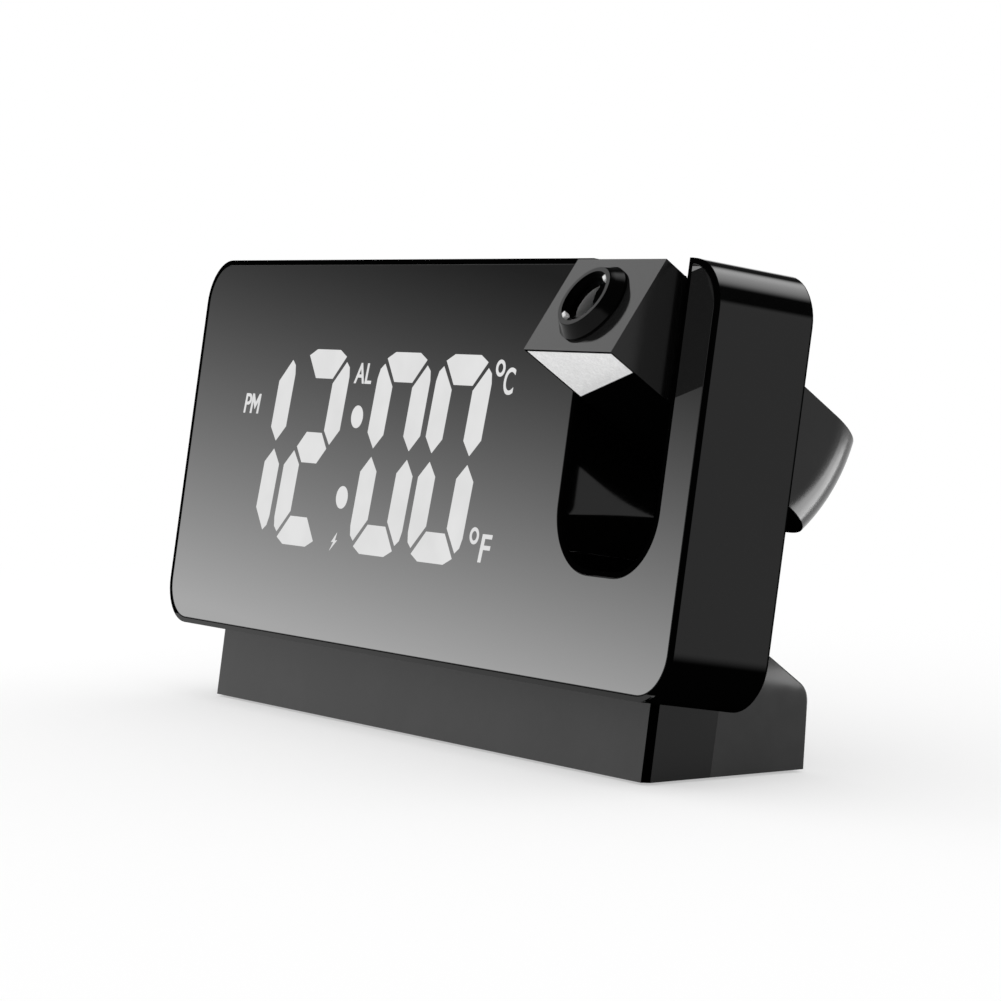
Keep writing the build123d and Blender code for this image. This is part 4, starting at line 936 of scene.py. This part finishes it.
# Painted shade: the slot's floor gets the matt black with no reflection.
painted(housing, PAINTED_SHADE_BLACK, on_slot_floor)
mirror_face()
slot_rim_painted_shade()
lock_tabs()
for node, name, finish in SHELLS:
    shell = merged_copy(node, name, FINISHES[finish])
    if finish == "arm_black":
        # Painted shade: the arm's sides get a darker copy of its gloss black, and its underside the
        # black with no reflection.
        painted(shell, ARM_SIDES_SHADED, on_arm_side)
        painted(shell, PAINTED_SHADE_BLACK, under_arm)
# Painted light and shade: the front shell's faces, flat ends and slanting front corners get the lit
# copy, the shaded copy and the black with no reflection, which renders as a black line.
stand_front = merged_copy("stand_front_shell", "polished_stand_front", STAND_FRONT_LIT)
painted(stand_front, STAND_ENDS_SHADED, on_stand_end)
painted(stand_front, PAINTED_SHADE_BLACK, on_stand_corner)
stand_rear = merged_copy(
    "stand_rear_shell", "polished_stand_rear", FINISHES["stand_black"], ease_roof
)
painted(stand_rear, STAND_RIM, on_stand_rim)

# --- Floor, world and lamps -----------------------------------------------------------------------
FLOOR_SIZE = 12.0
FLOOR_WHITE = 0.95
SHADOW_SHARE = 0.55  # how much of the floor's own shading is seen near the clock
SHADOW_NEAR, SHADOW_FAR = 0.12, 0.42  # the shading fades out between these distances


def sees_background(nodes, links):
    """One for camera, glossy and transmitted rays, which see the background's own colour."""
    path = nodes.new("ShaderNodeLightPath")
    seen = path.outputs["Is Camera Ray"]
    for kind in ("Is Glossy Ray", "Is Transmission Ray"):
        seen = maths(nodes, links, "MAXIMUM", seen, path.outputs[kind])
    return path, seen


def pale_floor():
    """A wide pale floor that keeps the clock's soft shadow."""
    material = bpy.data.materials.new("pale_floor")
    material.use_nodes = True
    nodes, links = material.node_tree.nodes, material.node_tree.links
    nodes.remove(nodes["Principled BSDF"])
    paper = nodes.new("ShaderNodeBsdfDiffuse")
    paper.inputs["Color"].default_value = (FLOOR_WHITE, FLOOR_WHITE, FLOOR_WHITE, 1.0)
    white = nodes.new("ShaderNodeEmission")
    mix = nodes.new("ShaderNodeMixShader")
    seen = sees_background(nodes, links)[1]
    reach = nodes.new("ShaderNodeVectorMath")
    reach.operation = "LENGTH"
    links.new(placed(nodes), reach.inputs[0])
    distance, shown = reach.outputs["Value"], 1.0 - SHADOW_SHARE
    plain = ranged(nodes, links, distance, SHADOW_NEAR, SHADOW_FAR, shown, 1.0, True)
    links.new(maths(nodes, links, "MULTIPLY", seen, plain), mix.inputs["Fac"])
    links.new(paper.outputs["BSDF"], mix.inputs[1])
    links.new(white.outputs["Emission"], mix.inputs[2])
    links.new(mix.outputs["Shader"], nodes["Material Output"].inputs["Surface"])
    bm = bmesh.new()
    bmesh.ops.create_grid(bm, x_segments=1, y_segments=1, size=FLOOR_SIZE / 2.0)
    mesh = bpy.data.meshes.new("floor")
    bm.to_mesh(mesh)
    bm.free()
    mesh.materials.append(material)
    floor = bpy.data.objects.new("floor", mesh)
    bpy.context.scene.collection.objects.link(floor)


WORLD_FILL = 1.0  # light that the room gives to matt surfaces
CEILING_LEVEL = 0.04  # what polished surfaces see overhead
WHITE_UP_TO, DARK_FROM = 0.20, 0.34  # sines of the height between which the walls darken
FACED_WALL = Vector((-0.862, -0.507, 0.0))  # the wall that the mirror shows darkens lower down
FACED_NEAR, FACED_FAR = 0.97, 0.90  # cosines within which it does so
FACED_WHITE, FACED_DARK = 0.055, 0.2076  # sines of the height
FACED_CURVE = 2.4
GLOW_WAY = Vector((-0.05, 0.66, 0.75)).normalized()  # soft light over the rear right corner
GLOW_CORE, GLOW_EDGE = radians(4.0), radians(28.0)
GLOW_LEVEL = 4.2


def soft_glow(nodes, links, path):
    """A ceiling light with soft edges, seen by polished surfaces and not by the camera."""
    turn = along(nodes, links, placed(nodes, "Generated"), GLOW_WAY)
    glow = ranged(nodes, links, turn, cos(GLOW_EDGE), cos(GLOW_CORE), 0.0, GLOW_LEVEL, True)
    unseen = maths(nodes, links, "SUBTRACT", 1.0, path.outputs["Is Camera Ray"])
    return maths(nodes, links, "MULTIPLY", glow, unseen)


def darker_wall(nodes, links, height, wall):
    """The wall's level, with the part that the mirror faces fading from white to dark."""
    turn = along(nodes, links, placed(nodes, "Generated"), FACED_WALL)
    faced = ranged(nodes, links, turn, FACED_FAR, FACED_NEAR, 0.0, 1.0, True)
    fade = ranged(nodes, links, height, FACED_WHITE, FACED_DARK, 1.0, 0.0)
    fade = maths(nodes, links, "POWER", fade, FACED_CURVE)
    fade = maths(nodes, links, "MAXIMUM", fade, CEILING_LEVEL)
    change = maths(nodes, links, "SUBTRACT", fade, wall)
    return maths(nodes, links, "ADD", wall, maths(nodes, links, "MULTIPLY", change, faced))


def plain_light(nodes):
    """A white background shader: the node, of which only the strength is still to set."""
    light = nodes.new("ShaderNodeBackground")
    light.inputs["Color"].default_value = (1.0, 1.0, 1.0, 1.0)
    return light


def studio_world():
    """White walls and a dark ceiling for polished surfaces, an even fill for matt ones."""
    world = bpy.data.worlds.new("studio")
    bpy.context.scene.world = world
    world.use_nodes = True
    nodes, links = world.node_tree.nodes, world.node_tree.links
    nodes.remove(nodes["Background"])
    path, seen = sees_background(nodes, links)
    height = along(nodes, links, placed(nodes, "Generated"), (0.0, 0.0, 1.0))
    wall = ranged(nodes, links, height, WHITE_UP_TO, DARK_FROM, 1.0, CEILING_LEVEL, True)
    wall = darker_wall(nodes, links, height, wall)
    wall = maths(nodes, links, "MAXIMUM", wall, path.outputs["Is Camera Ray"])
    wall = maths(nodes, links, "ADD", wall, soft_glow(nodes, links, path))
    room = plain_light(nodes)
    links.new(wall, room.inputs["Strength"])
    fill = plain_light(nodes)
    fill.inputs["Strength"].default_value = WORLD_FILL
    mix = nodes.new("ShaderNodeMixShader")
    links.new(seen, mix.inputs["Fac"])
    links.new(fill.outputs["Background"], mix.inputs[1])
    links.new(room.outputs["Background"], mix.inputs[2])
    links.new(mix.outputs["Shader"], nodes["World Output"].inputs["Surface"])


def area_lamp(name, place, width, height, radiance):
    """A rectangular lamp that polished surfaces show and the camera doesn't."""
    lamp = bpy.data.lights.new(name, "AREA")
    lamp.shape = "RECTANGLE"
    lamp.size = width
    lamp.size_y = height
    lamp.energy = radiance * pi * width * height
    holder = bpy.data.objects.new(name, lamp)
    holder.visible_camera = False
    holder.matrix_world = place
    bpy.context.scene.collection.objects.link(holder)


# Widths and heights are in metres, the last value is the lamp's brightness.
SOFTBOX_WAY = Vector((-0.845, -0.224, 0.486)).normalized()  # from the arm's pivot
SOFTBOX_DISTANCE = 1.3
SOFTBOX_SIZE = (0.9, 0.45, 1.6)
FLOOR_LAMP_PLACE = Vector((0.14, 0.18, 0.003))  # behind the clock, under the tail's rounding
FLOOR_LAMP_SIZE = (0.12, 0.20, 7.4)

pale_floor()
studio_world()
facing_clock = SOFTBOX_WAY.to_track_quat("Z", "Y").to_matrix().to_4x4()
softbox_place = Matrix.Translation(PIVOT + SOFTBOX_WAY * SOFTBOX_DISTANCE) @ facing_clock
floor_lamp_place = Matrix.Translation(FLOOR_LAMP_PLACE) @ Matrix.Rotation(pi, 4, "X")
area_lamp("floor_lamp", floor_lamp_place, *FLOOR_LAMP_SIZE)
area_lamp("left_softbox", softbox_place, *SOFTBOX_SIZE)

# --- Camera ---------------------------------------------------------------------------------------
CAMERA_FROM_BODY = Vector((0.593064, -0.347802, 0.073303))  # from the mirror's lower middle
CAMERA_AZIMUTH = radians(57.789)
CAMERA_HEIGHT = radians(3.597)
CAMERA_LENS = 129.91
SENSOR = 36.0

lens = bpy.data.cameras.new("studio_camera")
lens.sensor_width = SENSOR
lens.lens = CAMERA_LENS
camera = bpy.data.objects.new("studio_camera", lens)
level = cos(CAMERA_HEIGHT)
ahead = Vector(
    (-sin(CAMERA_AZIMUTH) * level, cos(CAMERA_AZIMUTH) * level, -sin(CAMERA_HEIGHT))
)
turn = ahead.to_track_quat("-Z", "Y").to_matrix().to_4x4()
camera.matrix_world = Matrix.Translation(BODY_ORIGIN + CAMERA_FROM_BODY) @ turn
bpy.context.scene.collection.objects.link(camera)
bpy.context.scene.camera = camera
bpy.context.scene.view_settings.view_transform = "Standard"
